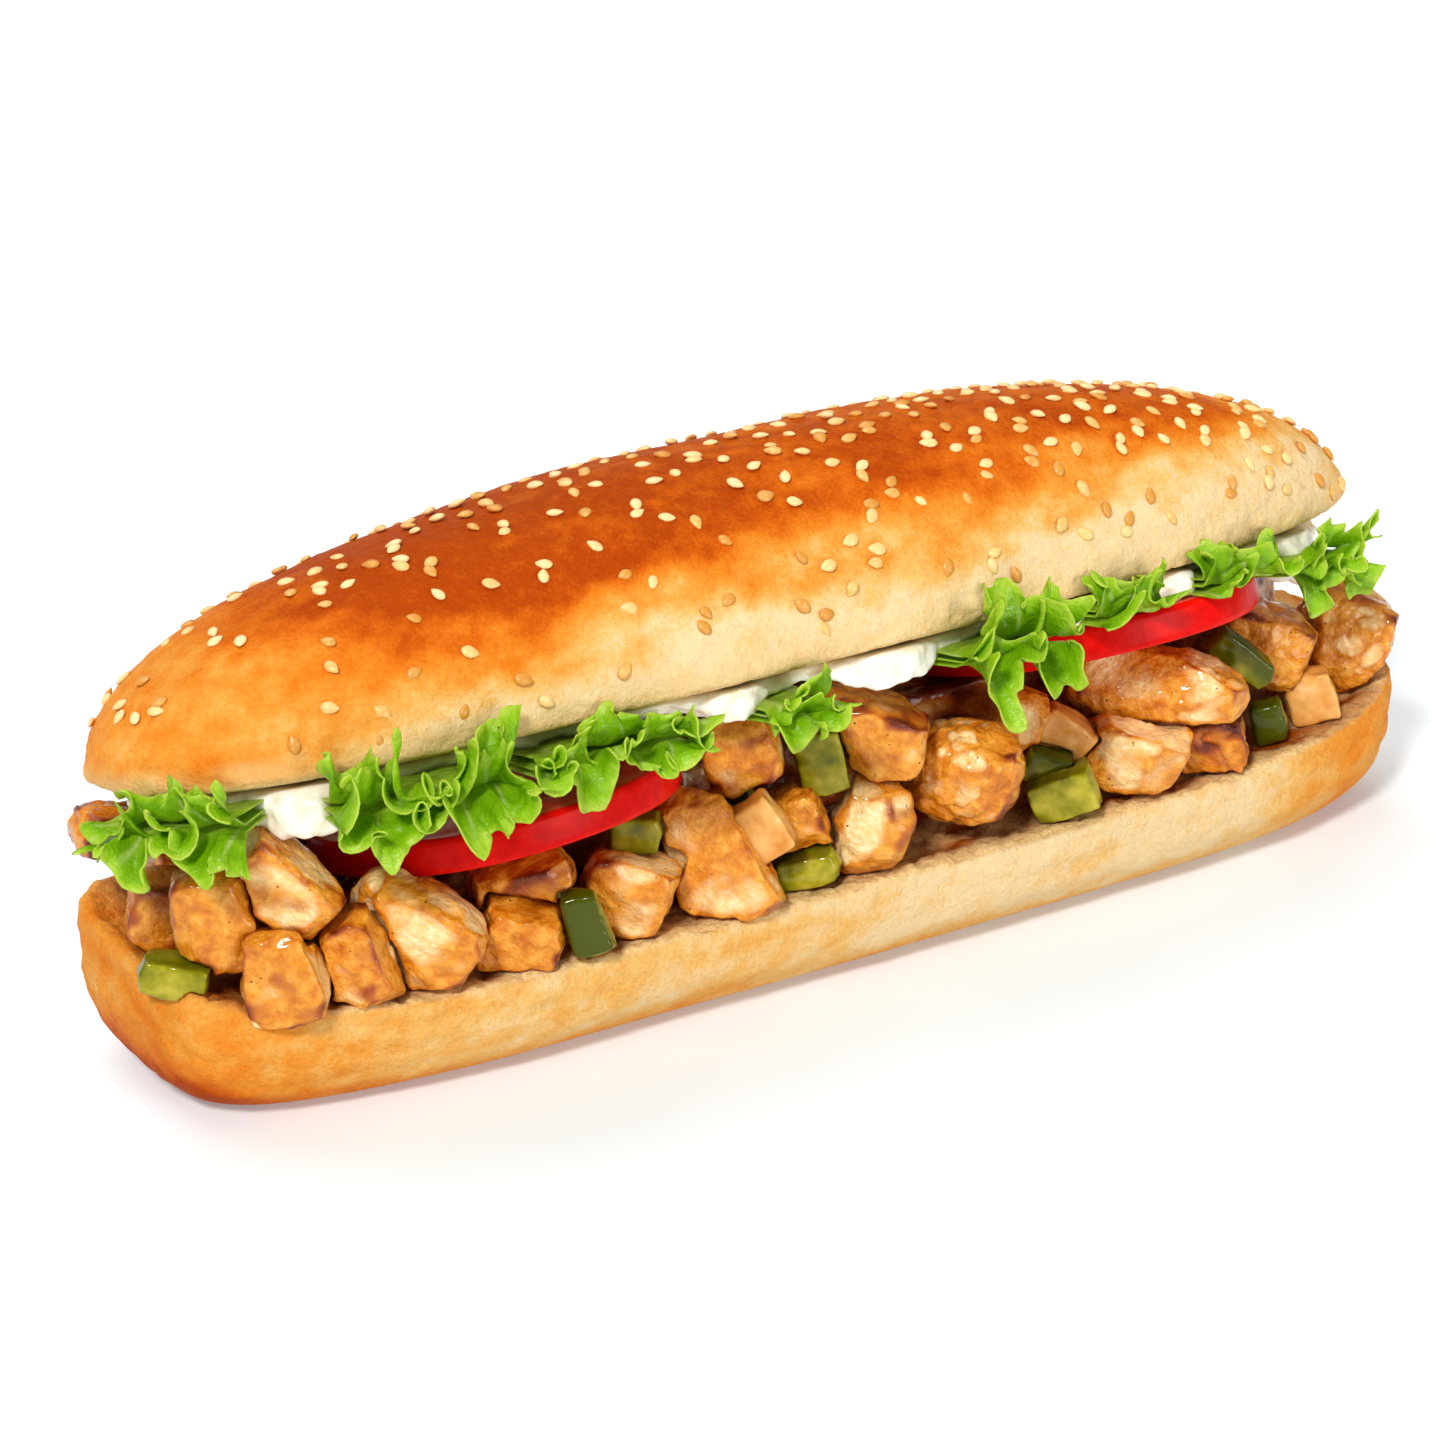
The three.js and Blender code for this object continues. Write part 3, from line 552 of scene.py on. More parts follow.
MEAT_LOOKS = {
    1: dict(glazed=0.5, char_and_shade=0.5, craggy=0.6),
    2: dict(glazed=0.45, char_and_shade=0.35, craggy=0.5),
    3: dict(glazed=0.42, char_and_shade=0.05),
    4: dict(glazed=-0.05, char_and_shade=0.0),
    5: dict(glazed=0.12, char_and_shade=0.02),
    6: dict(glazed=0.22, char_and_shade=0.1),
    7: dict(glazed=-0.16, char_and_shade=-0.3),
    8: dict(glazed=0.5, char_and_shade=0.2, craggy=0.6),
    9: dict(glazed=0.4, char_and_shade=0.2),
    10: dict(glazed=0.0, char_and_shade=-0.12),
    11: dict(glazed=0.22, char_and_shade=0.0),
    12: dict(glazed=0.3, char_and_shade=0.15),
    13: dict(glazed=0.45, char_and_shade=0.1, craggy=0.5),
    14: dict(glazed=0.38, char_and_shade=0.16),
    15: dict(glazed=-0.22, char_and_shade=-0.1),
    16: dict(glazed=0.1, char_and_shade=-0.1, craggy=1.3, cuts=0),
    17: dict(glazed=0.05, char_and_shade=-0.2),
    18: dict(glazed=-0.14, char_and_shade=-0.1, craggy=0.4),
    19: dict(glazed=-0.18, char_and_shade=-0.2),
    20: dict(glazed=0.5, char_and_shade=0.4, craggy=1.3),
    21: dict(glazed=0.15, char_and_shade=0.16, craggy=0.8),
    22: dict(glazed=0.08, char_and_shade=0.0, craggy=0.7),
}
chicken_breast = seared_meat()
for number, look in MEAT_LOOKS.items():
    mesh = meat_mesh(f"chicken_{number:02d}", number, **look)
    add_piece(f"chicken_dice_{number:02d}", mesh, chicken_breast, "chicken", f"chicken_{number:02d}")
# The bed's front, seen only through the gaps between the front dice, is painted dark as painted shade.
bed = meat_mesh("chicken_bed", 50, glazed=0.2, char_and_shade=0.0, craggy=0.5, cuts=0, in_shade=0.7, voxel=BED_VOXEL)
add_piece("chicken_dice_bed", bed, chicken_breast, "chicken", "chicken_bed")


# Green pepper, cut in squares and fried soft: a dark glossy skin on one side, pale wet flesh on
# the others. Onion, cut the same way and fried glassy and tan.
VEGETABLE_VOXEL = 0.45
DARK_PEPPERS = {"pepper_02", "pepper_04", "pepper_07", "pepper_09", "pepper_10"}


def vegetable_mesh(name, index, dark):
    """A softened square of vegetable. A dark one turns its skin to the front."""
    mesh = evened(solid_copy(name), VEGETABLE_VOXEL)
    spots = relaxed(mesh, places_of(mesh), 4)
    put_places(mesh, spots)
    face = normals_of(mesh)
    spots += face * (0.3 * grain(spots, 4, index) + 0.12 * grain(spots, 1.6, index + 30))[:, None]
    put_places(mesh, spots)
    side = Vector((chance(index, 31) - 0.5, -0.6 if dark else 0.6, 0.5)).normalized()
    skin = step(-0.1, 0.5, face @ np.array(side) + 0.25 * grain(spots, 3, index + 60))
    put_share(mesh, "skin", skin * (1.0 if dark else 0.6))
    return mesh


def wet_vegetable(name, flesh_colours, skin_hex, subsurface):
    """Fried vegetable: wet and glassy, with a darker skin side and faint streaks in the flesh."""
    material, tree, shader = new_material(name)
    streaks = noise(tree, object_spot(tree), pitch=4.2, detail=3)
    flesh = ramp(tree, streaks, flesh_colours)
    colour = blend(tree, share_of(tree, "skin"), flesh, linear(skin_hex))
    tree.links.new(colour, shader.inputs["Base Color"])
    tree.links.new(relief(tree, streaks, 0.35, depth=0.4), shader.inputs["Normal"])
    shader.inputs["Roughness"].default_value = 0.22
    shader.inputs["Subsurface Weight"].default_value = subsurface
    shader.inputs["Subsurface Radius"].default_value = (1, 0.9, 0.4)
    shader.inputs["Subsurface Scale"].default_value = 0.002
    shader.inputs["Specular IOR Level"].default_value = 0.15
    shader.inputs["Coat Weight"].default_value = 0.5
    shader.inputs["Coat Roughness"].default_value = 0.08
    return material


PEPPER_COLOURS = [(0.3, linear("#6b6c08")), (0.5, linear("#928c14")), (0.75, linear("#bcae40"))]
ONION_COLOURS = [(0.3, linear("#cf8c3e")), (0.55, linear("#e0a862")), (0.8, linear("#efc48a"))]
pepper_flesh = wet_vegetable("fried_green_pepper", PEPPER_COLOURS, skin_hex="#4c5204", subsurface=0.1)
onion_flesh = wet_vegetable("fried_onion", ONION_COLOURS, skin_hex="#c98436", subsurface=0.3)
for index, name in enumerate(sorted(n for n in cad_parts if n.startswith("pepper"))):
    mesh = vegetable_mesh(name, index + 5, name in DARK_PEPPERS)
    add_piece(name.replace("pepper", "pepper_square"), mesh, pepper_flesh, "pepper", name)
for index, name in enumerate(sorted(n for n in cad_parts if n.startswith("onion"))):
    mesh = vegetable_mesh(name, index + 25, False)
    add_piece(name.replace("onion", "onion_square"), mesh, onion_flesh, "onion", name)


# Tomato slices: cut straight across a ripe round tomato, so each has a thin shiny skin round its
# rim and wet flesh on both faces, with a paler line just inside the skin.
TOMATO_RADIUS = 34.5
TOMATO_THICKNESS = 7
TOMATO_EDGE_ROUND = 1.4
TOMATO_EDGE_RISE = 1.6
TOMATO_SIDES = 220
TOMATO_FLESH = [(0.3, linear("#cc2408")), (0.5, linear("#de3a12")), (0.75, linear("#ea5c2c"))]
TOMATO_SKIN = [(0.3, linear("#cc0804")), (0.55, linear("#de1008")), (0.8, linear("#ea2a16"))]
# Each slice: the place of its middle, and its turns in degrees about X, Y and Z.
TOMATOES = [((-60, -4, 40.5), (-16, -5, 0)), ((69.5, -4, 47), (-19, -2, 0))]


def ripe_tomato():
    """Ripe tomato: a tight red skin with a soft shine, and orange-red wet flesh in rays."""
    material, tree, shader = new_material("ripe_tomato")
    streaks = noise(tree, object_spot(tree), pitch=2.9, detail=5, roughness=0.6)
    flesh = ramp(tree, streaks, TOMATO_FLESH)
    skin = ramp(tree, streaks, TOMATO_SKIN)
    lighter = blend(tree, share_of(tree, "pale"), flesh, linear("#ee7a48"))
    colour = blend(tree, share_of(tree, "rim"), lighter, skin)
    tree.links.new(colour, shader.inputs["Base Color"])
    tree.links.new(relief(tree, streaks, 0.25, depth=0.5), shader.inputs["Normal"])
    shader.inputs["Roughness"].default_value = 0.32
    shader.inputs["Specular IOR Level"].default_value = 0.15
    shader.inputs["Subsurface Weight"].default_value = 0.1
    shader.inputs["Subsurface Radius"].default_value = (1, 0.3, 0.2)
    shader.inputs["Subsurface Scale"].default_value = 0.002
    return material


def tomato_mesh(index, at, turns):
    half = TOMATO_THICKNESS / 2
    flat = TOMATO_RADIUS - TOMATO_EDGE_ROUND
    lower = [(r, -half) for r in np.linspace(0, flat, 30)]
    lower += [
        (flat + TOMATO_EDGE_ROUND * math.sin(a), -half + TOMATO_EDGE_RISE * (1 - math.cos(a)))
        for a in np.linspace(0.2, math.pi / 2, 7)
    ]
    profile = lower + [(across, -up) for across, up in reversed(lower)]
    mesh = spun([(r * MM, z * MM) for r, z in profile], TOMATO_SIDES)
    spots = places_of(mesh)
    radius = np.hypot(spots[:, 0], spots[:, 1])
    angle = np.arctan2(spots[:, 1], spots[:, 0])
    rim = step(TOMATO_RADIUS - 1.3, TOMATO_RADIUS - 0.6, radius)
    rays = np.stack([6 * np.cos(angle * 3), 6 * np.sin(angle * 3), radius * 0.12], 1)
    spots[:, :2] *= 1 + 0.012 * np.sin(5 * angle + index)[:, None]
    spots[:, 2] += (1 - rim) * np.sign(spots[:, 2]) * (0.16 * grain(spots, 2.4, index) - 0.2)
    turn = Euler([math.radians(t) for t in turns], "XYZ").to_matrix().to_4x4()
    laid = np.array(Matrix.Translation(MIDDLE + Vector(at)) @ turn)
    put_places(mesh, spots @ laid[:3, :3].T + laid[:3, 3])
    put_share(mesh, "rim", rim)
    line = step(TOMATO_RADIUS - 3.6, TOMATO_RADIUS - 2.4, radius) * (1 - rim)
    put_share(mesh, "pale", np.clip(0.45 * line + 0.3 * step(0.2, 0.8, grain(rays * 3, 4, index + 3)), 0, 1))
    return mesh


tomato_flesh = ripe_tomato()
for index, (at, turns) in enumerate(TOMATOES):
    mesh = tomato_mesh(index, at, turns)
    add_piece(f"tomato_round_{index + 1}", mesh, tomato_flesh, "tomato", f"tomato_slice_{index + 1}")


# Mayonnaise, spread thick under the upper half of the roll: an egg and oil cream that keeps the
# marks of the knife, pressed out in soft lobes where the sandwich is held.
CROWN_LENGTH = 265
CROWN_WIDTH = 76
CROWN_HEIGHT = 37.5
CROWN_PLAN_POWER = 2.7
CROWN_DOME_POWER = 2.3
CROWN_SIDES = 260
CROWN_PLACE = MIDDLE + Vector((-4.2, 0, 58.3))
CROWN_GAPE = math.radians(14.5)
UPPER = np.array(Matrix.Translation(CROWN_PLACE) @ Matrix.Rotation(-CROWN_GAPE, 4, "X"))
MAYONNAISE_THICKNESS = 2.6
MAYONNAISE_INSET = 7
MAYONNAISE_VOXEL = 0.7
# Each lobe: its place along the roll, its width, how far it hangs, and its side (-1 is the front).
MAYONNAISE_BLOBS = [
    (-106, 22, 8, -1),
    (-22, 14, 4, -1),
    (11, 26, 5, -1),
    (49, 18, 3, -1),
    (78, 12, 3, -1),
    (111, 20, 8, -1),
    (-70, 26, 3, 1),
    (20, 30, 4, 1),
    (88, 20, 3, 1),
]


def in_upper(spots):
    """Takes places from the crown's own tilted frame to the sandwich."""
    return spots @ UPPER[:3, :3].T + UPPER[:3, 3]


def crown_plan(places, length, width):
    """Moves a round form of radius 1 to the crown's plan."""
    x, y, z = places.T
    across = np.maximum(np.hypot(x, y), 1e-9)
    x = length / 2 * across * power(x / across, 2 / CROWN_PLAN_POWER)
    y = width / 2 * across * power(y / across, 2 / CROWN_PLAN_POWER)
    return np.stack([x, y, z], 1), across


def mayonnaise_mesh():
    profile = [(a, 0) for a in np.linspace(0, 0.94, 30)]
    edge_turns = np.linspace(0.3, math.pi - 0.2, 14)
    profile += [(0.94 + 0.06 * math.sin(a), -0.5 + 0.5 * math.cos(a)) for a in edge_turns]
    profile += [(a, -1) for a in np.linspace(0.94, 0, 30)]
    mesh = spun(profile, CROWN_SIDES)
    spots, across = crown_plan(places_of(mesh) * MM, CROWN_LENGTH, CROWN_WIDTH)
    blob, hang = np.zeros(len(spots)), np.zeros(len(spots))
    for x, width, depth, side in MAYONNAISE_BLOBS:
        near = np.exp(-(((spots[:, 0] - x) / (width / 2)) ** 2)) * (spots[:, 1] * side > 0)
        blob = np.maximum(blob, near)
        hang = np.maximum(hang, near * depth * across**4)
    inset = MAYONNAISE_INSET * (1 - 0.93 * blob) + 2.2 * grain(spots, 6, 3) * (1 - blob)
    spots[:, 0] *= 1 - inset / (CROWN_LENGTH / 2)
    spots[:, 1] *= 1 - inset / (CROWN_WIDTH / 2)
    uneven = 0.5 * lump(spots, 5, 4) + 1.3 * grain(spots, 4.5, 5) + 0.6 * grain(spots, 2.2, 6)
    spots[:, 2] = -0.8 + (MAYONNAISE_THICKNESS + hang + uneven) * spots[:, 2]
    swell = step(0.8, 1, across) * blob * np.clip(-spots[:, 2] / 3, 0, 1)
    spots[:, 1] += np.sign(spots[:, 1]) * swell * (0.9 * grain(spots, 3.2, 7) - 0.3)
    put_places(mesh, spots)
    mesh = evened(mesh, MAYONNAISE_VOXEL)
    spots = relaxed(mesh, places_of(mesh), 2)
    put_places(mesh, spots)
    lumps = 0.7 * grain(spots, 3, 8) + 0.5 * grain(spots, 1.7, 9)
    spots += normals_of(mesh) * (lumps * step(-0.9, -2, spots[:, 2]))[:, None]
    put_places(mesh, in_upper(spots))
    return mesh


def egg_cream():
    """Mayonnaise: an opaque cream, ivory in thin places, with a soft wet shine."""
    material, tree, shader = new_material("egg_mayonnaise")
    swirls = noise(tree, object_spot(tree), pitch=4.2, detail=3)
    colour = ramp(tree, swirls, [(0.3, linear("#f3e6cd")), (0.6, linear("#fbf5e8"))])
    tree.links.new(colour, shader.inputs["Base Color"])
    tree.links.new(relief(tree, swirls, 0.5, depth=1.2), shader.inputs["Normal"])
    shader.inputs["Roughness"].default_value = 0.25
    shader.inputs["Subsurface Weight"].default_value = 0.4
    shader.inputs["Subsurface Radius"].default_value = (1, 0.8, 0.5)
    shader.inputs["Subsurface Scale"].default_value = 0.003
    return material


add_piece("mayonnaise_spread", mayonnaise_mesh(), egg_cream(), "mayonnaise", "mayonnaise")


# Leaf lettuce: loose frilly leaves torn across and laid under the upper half of the roll. Each
# comes out past the bread, turns up and down along its length and ends in a tight pale frill.
LEAVES = [
    dict(x=-127, side=-1, width=25, root=12, frill=11, waves=0.8, start=0.55, lift=4, drop=-4),
    dict(x=-88, side=-1, width=33, root=16, frill=14, waves=1, start=0, lift=8, drop=-5),
    dict(x=-52, side=-1, width=30, root=16, frill=9, waves=1, start=0.5, lift=12, drop=-5),
    dict(x=-14, side=-1, width=13, root=12, frill=8, waves=0.5, start=0.5, lift=0, drop=-6),
    dict(x=31, side=-1, width=21, root=14, frill=15, waves=0.9, start=0.55, lift=14, drop=-5),
    dict(x=60, side=-1, width=15, root=14, frill=9, waves=0.5, start=0.25, lift=65, drop=-4),
    dict(x=88, side=-1, width=19, root=14, frill=9, waves=0.7, start=0.15, lift=60, drop=-4),
    dict(x=109, side=-1, width=18, root=12, frill=10, waves=0.8, start=0.6, lift=-12, drop=-6),
    dict(x=-95, side=1, width=38, root=13, frill=7, waves=1.2, start=0.4, lift=12, drop=-5),
    dict(x=-8, side=1, width=42, root=13, frill=8, waves=1.2, start=0, lift=10, drop=-5),
    dict(x=70, side=1, width=40, root=13, frill=7, waves=1.2, start=0.7, lift=12, drop=-5),
]
FOLD_PITCH = 9
FOLD_DEPTH = 2.2
TURN_SWING = 45
# Each sheet of a leaf: its shift in phase, its share of the frill, how far below, and its added lift.
LEAF_SHEETS = [(0.0, 1.0, 0.0, 0), (0.5, 0.85, 1.2, 0), (0.27, 0.75, -1.6, 32)]
RUFFLE_PITCH = 7.2
CRINKLE_PITCH = 4.1
FRILL_PITCH = 2.2
LOBE_PITCH = 5.2
TOOTH_PITCH = 1.9
VEIN_PITCH = 6.5
LEAF_THICKNESS = 0.35
LEAF_STEP = 0.33
LEAF_GLOW = 0.42


def crown_edge(x, side):
    """The crown's edge at a distance along the roll, and the way that it faces."""

    def edge(at):
        return (1 - abs(at / (CROWN_LENGTH / 2)) ** CROWN_PLAN_POWER) ** (1 / CROWN_PLAN_POWER)

    slope = (edge(x + 1) - edge(x - 1)) * CROWN_WIDTH / 4
    return side * edge(x) * CROWN_WIDTH / 2, math.atan(side * slope) + (math.pi if side > 0 else 0)


def leaf_form(across, out, leaf, stream, sheet):
    """Where a point of a leaf lies: across from -0.5 to 0.5, and out from -1 at the root to 1."""
    shift, share, below, rise = sheet
    folds = max(2, round(leaf["width"] / FOLD_PITCH))
    fold = np.sin(2 * math.pi * folds * across + leaf["start"] * 5 + 9 * shift)
    inside = np.clip(-out, 0, 1)
    reach = np.clip(out, 0, 1)
    edge = across * leaf["width"]
    phase = 2 * math.pi * (leaf["waves"] * (across + 0.5) + leaf["start"] + shift)
    bend = np.radians(leaf["lift"] + rise + TURN_SWING * np.sin(phase))
    points = 0.26 * (1 - np.abs(np.sin(math.pi * edge / LOBE_PITCH + stream + 9 * shift)) ** 0.7)
    points += 0.13 * np.abs(np.sin(math.pi * edge / TOOTH_PITCH + 2 * stream + 5 * shift))
    sway = 0.1 * np.cos(2 * math.pi * folds * across * 1.5)
    far = share * reach * leaf["frill"] * (1 + (sway - points) * reach)
    turn = bend * (0.5 + 0.5 * reach)
    drift = np.stack([edge, 0 * edge, 3 * shift], 1)
    strong = 1 + 0.55 * grain(drift, 4.5, stream)
    wave = 2 * math.pi * edge / RUFFLE_PITCH + 3 * stream + 7 * shift
    wave = wave + 1.3 * reach + 1.6 * grain(drift, 7, stream + 20)
    frill = 2 * math.pi * edge / FRILL_PITCH + 5 * stream - 2 * reach + 1.2 * grain(drift, 3, stream + 40)
    far = far * (1 + reach * (0.3 * grain(drift, 5, stream + 60) + 0.22 * grain(drift, 1.6, stream + 70)))
    crinkle = 2 * math.pi * edge / CRINKLE_PITCH + 2 * stream + 4 * shift + 2 * grain(drift, 4, stream + 50)
    curl = fold * FOLD_DEPTH * reach + strong * 2 * reach**1.4 * np.sin(wave)
    curl += 1.2 * reach**1.7 * np.sin(crinkle) + 0.9 * reach**2.5 * np.sin(frill)
    curl += 0.5 * reach * grain(np.stack([edge, 9 * reach, 3 * shift + 0 * edge], 1), 2.2, stream + 80)
    curl = share * curl
    x = edge * (1 + 0.1 * reach) + 1.7 * strong * reach**1.6 * np.cos(wave)
    x = x + 0.8 * reach**1.7 * np.cos(crinkle) + 0.5 * reach**2.5 * np.cos(frill)
    y = inside * leaf["root"] - far * np.cos(turn) - curl * np.sin(np.abs(turn)) - 1.5 * reach
    z = 0.4 * (1 - inside) * fold * (1 - reach) + far * np.sin(turn) + curl * np.cos(turn) - below
    return np.stack([x, y, z], 1)


def leaf_mesh(leaf, stream):
    """A leaf in ruffled sheets, one over the other, with their roots flat in the roll."""
    sheets = bmesh.new()
    rows = int((leaf["root"] * 0.5 + leaf["frill"]) / LEAF_STEP)
    columns = int(leaf["width"] * 1.15 / LEAF_STEP)
    for number in range(len(LEAF_SHEETS)):
        lift = Matrix.Translation((0, 0, number))
        bmesh.ops.create_grid(sheets, x_segments=columns, y_segments=rows, size=0.5, matrix=lift)
    mesh = bpy.data.meshes.new("leaf")
    sheets.to_mesh(mesh)
    sheets.free()
    flat = places_of(mesh) * MM
    across, out = flat[:, 0], -(flat[:, 1] * 2)
    out = np.where(out < -0.3, (out + 0.3) / 0.7, (out + 0.3) / 1.3)
    number = np.round(flat[:, 2]).astype(int)
    sheet = np.array(LEAF_SHEETS)[number].T
    y, yaw = crown_edge(leaf["x"], leaf["side"])
    spots = leaf_form(across, out, leaf, stream, sheet)
    turned = np.array(Matrix.Rotation(yaw, 3, "Z"))
    spots = spots @ turned.T + np.array([leaf["x"], y + 1.5 * leaf["side"], leaf["drop"]])
    put_places(mesh, in_upper(spots))
    put_share(mesh, "out", np.clip(out, 0, 1))
    vein = np.abs(np.sin(math.pi * (across * leaf["width"] / VEIN_PITCH + 0.25 * out + 0.3 * number)))
    put_share(mesh, "vein", step(0.22, 0.0, vein) * step(1, 0.4, np.clip(out, 0, 1)))
    return mesh


LEAF_COLOURS = [
    (0.08, linear("#d2e668")),
    (0.33, linear("#a8d02c")),
    (0.66, linear("#92c414")),
    (0.84, linear("#aed82c")),
    (0.98, linear("#cfe45c")),
]


def lettuce_blade():
    """Fresh lettuce: thin, waxy and lit through, pale at the root, darker green along its middle and bright
    at the frill.
    """
    material, tree, shader = new_material("fresh_leaf_lettuce")
    blisters = noise(tree, object_spot(tree), pitch=2.4, detail=4, roughness=0.55)
    level = weighed(tree, blisters, 0.6, share_of(tree, "out"))
    share = add_node(tree, "ShaderNodeMath", {0: level, 1: 1.35}, operation="DIVIDE").outputs[0]
    blade = ramp(tree, share, LEAF_COLOURS)
    colour = blend(tree, share_of(tree, "vein"), blade, linear("#cfe08c"))
    bumps = relief(tree, blisters, 0.8, depth=1)
    tree.links.new(colour, shader.inputs["Base Color"])
    tree.links.new(bumps, shader.inputs["Normal"])
    shader.inputs["Roughness"].default_value = 0.28
    shader.inputs["Specular IOR Level"].default_value = 0.5
    glow = add_node(tree, "ShaderNodeBsdfTranslucent", {"Color": colour, "Normal": bumps}).outputs[0]
    lit = add_node(tree, "ShaderNodeMixShader", {0: LEAF_GLOW, 1: shader.outputs[0], 2: glow})
    tree.links.new(lit.outputs[0], tree.nodes["Material Output"].inputs["Surface"])
    return material


leaf_blade = lettuce_blade()
for index, leaf in enumerate(LEAVES):
    number = f"{index + 1:02d}"
    mesh = leaf_mesh(leaf, index + 1)
    piece = add_piece(f"lettuce_frill_{number}", mesh, leaf_blade, "lettuce", f"lettuce_leaf_{number}")
    thick = piece.modifiers.new("leaf thickness", "SOLIDIFY")
    thick.thickness = LEAF_THICKNESS * MM
    thick.offset = 0


# The upper half of the roll: a domed loaf, egg washed and sprinkled with sesame before baking. It
# is brown along the top, where the oven reached it, and pale low on the sides.


def crown_mesh():
    turns = np.linspace(0, math.pi / 2, 40)[1:]
    profile = [(a, 0) for a in np.linspace(0, 0.93, 12)]
    profile += [(0.955, 0.004), (0.975, 0.014), (0.988, 0.03), (0.996, 0.055)]
    bulge = 2 / CROWN_DOME_POWER
    profile += [(math.cos(a) ** bulge, math.sin(a) ** bulge) for a in turns[1:-1]]
    mesh = spun(profile + [(0, 1)], CROWN_SIDES)
    spots, _ = crown_plan(places_of(mesh) * MM, CROWN_LENGTH, CROWN_WIDTH)
    spots[:, 2] *= CROWN_HEIGHT
    put_places(mesh, spots)
    mesh = evened(mesh, BREAD_VOXEL)
    spots = relaxed(mesh, places_of(mesh), 3)
    put_places(mesh, spots)
    face = normals_of(mesh)
    skin = 0.4 * lump(spots, 9, 3) + 0.25 * grain(spots, 8, 11)
    skin += 0.14 * grain(spots, 2.4, 12) + 0.08 * grain(spots, 1.2, 18)
    under = step(-0.5, -0.8, face[:, 2])
    low = step(0.6, 0.15, spots[:, 2] / CROWN_HEIGHT)
    lip = step(0.16, 0.03, spots[:, 2] / CROWN_HEIGHT + 0.05 * grain(spots, (9, 6, 3), 22))
    pale_relief = low * (0.2 * grain(spots, (3.2, 2.4, 2), 13) + 0.14 * grain(spots, 1.4, 21))
    pores = step(0.2, 0.8, grain(spots, CRUMB_PORE, 14))
    crumbly = lip * (0.4 * grain(spots, 2.6, 23) + 0.3 * grain(spots, 1.4, 24))
    new_spots = spots + face * ((1 - under) * (skin + pale_relief + crumbly) - under * 0.4 * pores)[:, None]
    up = spots[:, 2] / CROWN_HEIGHT
    along = spots[:, 0] / (CROWN_LENGTH / 2)
    bow = 0.13 * grain(spots, (26, 12, 9), 15) + 0.09 * grain(spots, (9, 6, 5), 16)
    pale_side = 0.13 * step(-0.3, 0.1, along) - 0.03 * step(-0.8, -0.5, along)
    crust_darkness = 0.84 * step(0.16 + pale_side, 0.72 + pale_side, up + bow)
    crust_darkness += 0.13 * np.exp(-(((along + 0.38) / 0.3) ** 2)) * step(0.4, 0.75, up)
    left_nose, right_nose = step(0.62, 0.92, -along), step(0.86, 0.99, along)
    crust_darkness += left_nose * (0.42 - crust_darkness) + right_nose * (0.3 - crust_darkness)
    crust_darkness += step(-0.2, -0.6, along) * step(0.02, 0.3, up) * 0.12 * (1 - left_nose)
    mottled = 0.1 * grain(spots, (14, 8, 8), 17) + 0.12 * grain(spots, (4, 3, 3), 19)
    crust_darkness += mottled * step(0.0, 0.4, up + 0.4 * left_nose)
    crust_darkness += 0.05 * grain(spots, 1.6, 20)
    put_places(mesh, in_upper(new_spots))
    put_share(mesh, "crust_darkness", np.clip(crust_darkness + 0.02, 0, 1))
    put_share(mesh, "cut", np.maximum(under, 0.7 * lip))
    put_share(mesh, "sauce_and_shade", 0 * under)
    return mesh


crown_crust = bread_crust("baked_bread_crust_washed", peel=0.7)
add_piece("bread_crown", crown_mesh(), crown_crust, "crust", "roll_crown")


# Sesame seeds: hulled white seeds, flat drops that the egg wash holds to the crust and the oven
# tans a little. They lie closest along the top, and each points its own way.
SEED_SIZE = (3.4, 2.35, 1.3)
SEED_TRIES = 1050
# Steps that fill a surface evenly, with no rows.
SEED_SPACING_ALONG = 0.7548777
SEED_SPACING_ROUND = 0.5698403


def on_crown(x, angle):
    """The dome at a distance along the roll and an angle round it, from 0 at the front to pi."""
    share = abs(x / (CROWN_LENGTH / 2)) ** CROWN_PLAN_POWER
    flat, steep = math.cos(angle), math.sin(angle)
    inside, outside = 0.0, 1.5
    for _ in range(24):
        out = (inside + outside) / 2
        plan = (share + abs(out * flat) ** CROWN_PLAN_POWER) ** (CROWN_DOME_POWER / CROWN_PLAN_POWER)
        if plan + (out * steep) ** CROWN_DOME_POWER < 1:
            inside = out
        else:
            outside = out
    return Vector((x, -inside * flat * CROWN_WIDTH / 2, inside * steep * CROWN_HEIGHT))


def seed_share(x, angle):
    """The share of the tries that leave a seed: more toward the right end and along the top."""
    along_roll = 0.56 + 0.3 * x / (CROWN_LENGTH / 2)
    return along_roll * (0.42 + 0.58 * step(0.3, 0.95, math.sin(angle)))


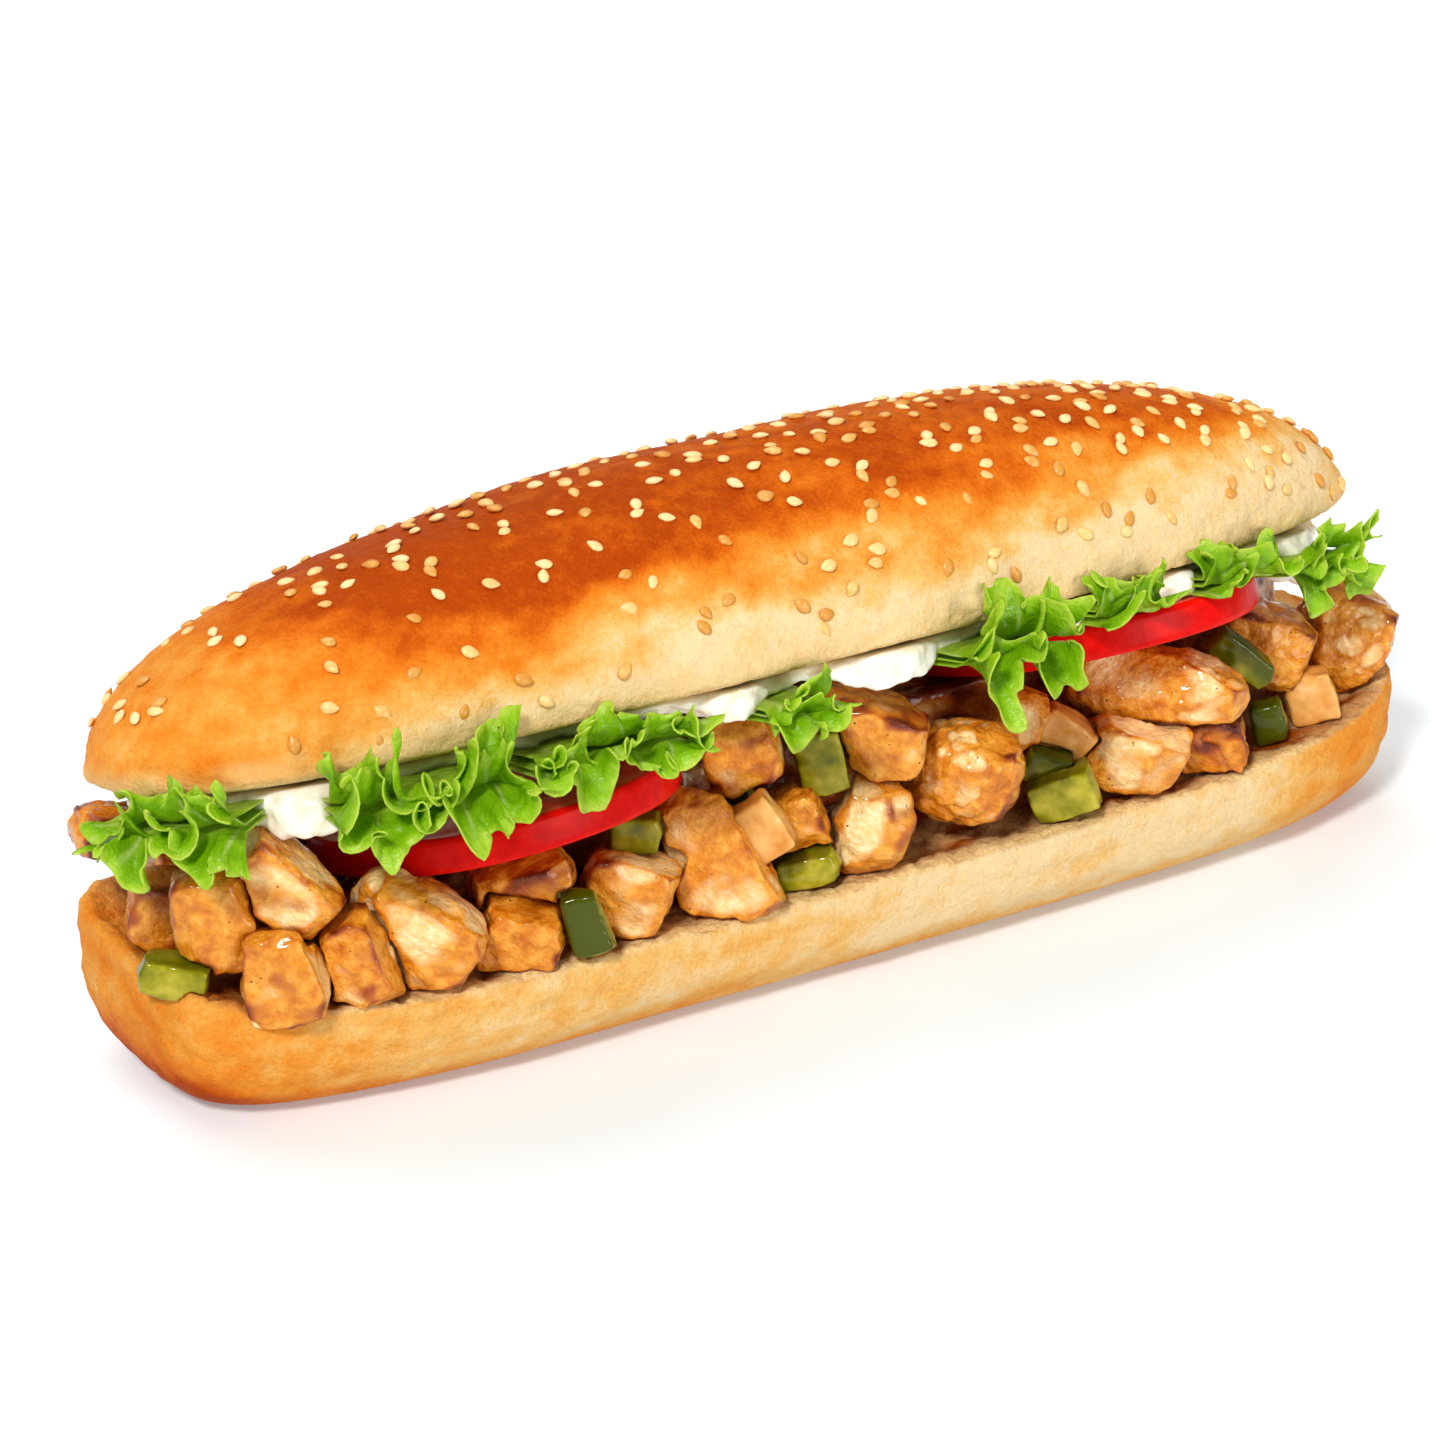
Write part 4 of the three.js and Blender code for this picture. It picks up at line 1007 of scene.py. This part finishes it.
def sesame_mesh():
    one = bmesh.new()
    bmesh.ops.create_uvsphere(one, u_segments=12, v_segments=8, radius=0.5)
    length, width, thickness = SEED_SIZE
    for point in one.verts:
        pointed = max(0, point.co.x + 0.05) / 0.55
        slim = 1 - 0.5 * pointed**1.4
        point.co = (point.co.x * length, point.co.y * width * slim, point.co.z * thickness * slim)
    grain_mesh = bpy.data.meshes.new("seed")
    one.to_mesh(grain_mesh)
    one.free()
    form = places_of(grain_mesh) * MM
    seeds = bmesh.new()
    spots, tones = [], []
    for i in range(SEED_TRIES):
        x = (((i + 0.5) * SEED_SPACING_ALONG) % 1 - 0.5) * CROWN_LENGTH * 0.96
        angle = math.pi * (0.05 + 0.9 * (((i + 0.5) * SEED_SPACING_ROUND) % 1))
        if chance(i, 1) >= seed_share(x, angle):
            continue
        here = on_crown(x, angle)
        low_side = 1 - step(0.45, 0.85, math.sin(angle))
        along = (on_crown(x + 1, angle) - here).normalized()
        out = along.cross(on_crown(x, angle + 0.03) - here).normalized()
        side = out.cross(along)
        basis = Matrix((along, side, out)).transposed().to_4x4()
        tilt = (0.4 * (chance(i, 4) - 0.5), 0.4 * (chance(i, 5) - 0.5), 2 * math.pi * chance(i, 2))
        lifted = here + out * (0.1 + 0.3 * chance(i, 6) * math.sin(angle))
        place = Matrix.Translation(lifted) @ basis @ Euler(tilt).to_matrix().to_4x4()
        place = np.array(place @ Matrix.Scale(0.86 + 0.26 * chance(i, 3), 4))
        spots.append(form @ place[:3, :3].T + place[:3, 3])
        tones.append(np.full(len(form), chance(i, 8) * (0.9 - 0.3 * low_side) + 0.42 * low_side))
        seeds.from_mesh(grain_mesh)
    mesh = bpy.data.meshes.new("sesame")
    seeds.to_mesh(mesh)
    seeds.free()
    put_places(mesh, in_upper(np.concatenate(spots)))
    put_share(mesh, "tone", np.concatenate(tones))
    return mesh


SEED_COLOURS = [
    (0.1, linear("#f0d6a0")),
    (0.6, linear("#ecca8c")),
    (0.85, linear("#e2b268")),
    (1.0, linear("#d09442")),
]


def sesame_hull():
    """Toasted sesame: a smooth oily ivory hull, tanned more on some seeds than on others."""
    material, tree, shader = new_material("toasted_sesame")
    mottle = noise(tree, object_spot(tree), pitch=0.83, detail=2)
    level = weighed(tree, mottle, 0.3, share_of(tree, "tone"))
    tree.links.new(ramp(tree, level, SEED_COLOURS), shader.inputs["Base Color"])
    shader.inputs["Roughness"].default_value = 0.35
    shader.inputs["Subsurface Weight"].default_value = 0.15
    shader.inputs["Subsurface Scale"].default_value = 0.001
    return material


add_piece("sesame_seeds", sesame_mesh(), sesame_hull(), "crust")
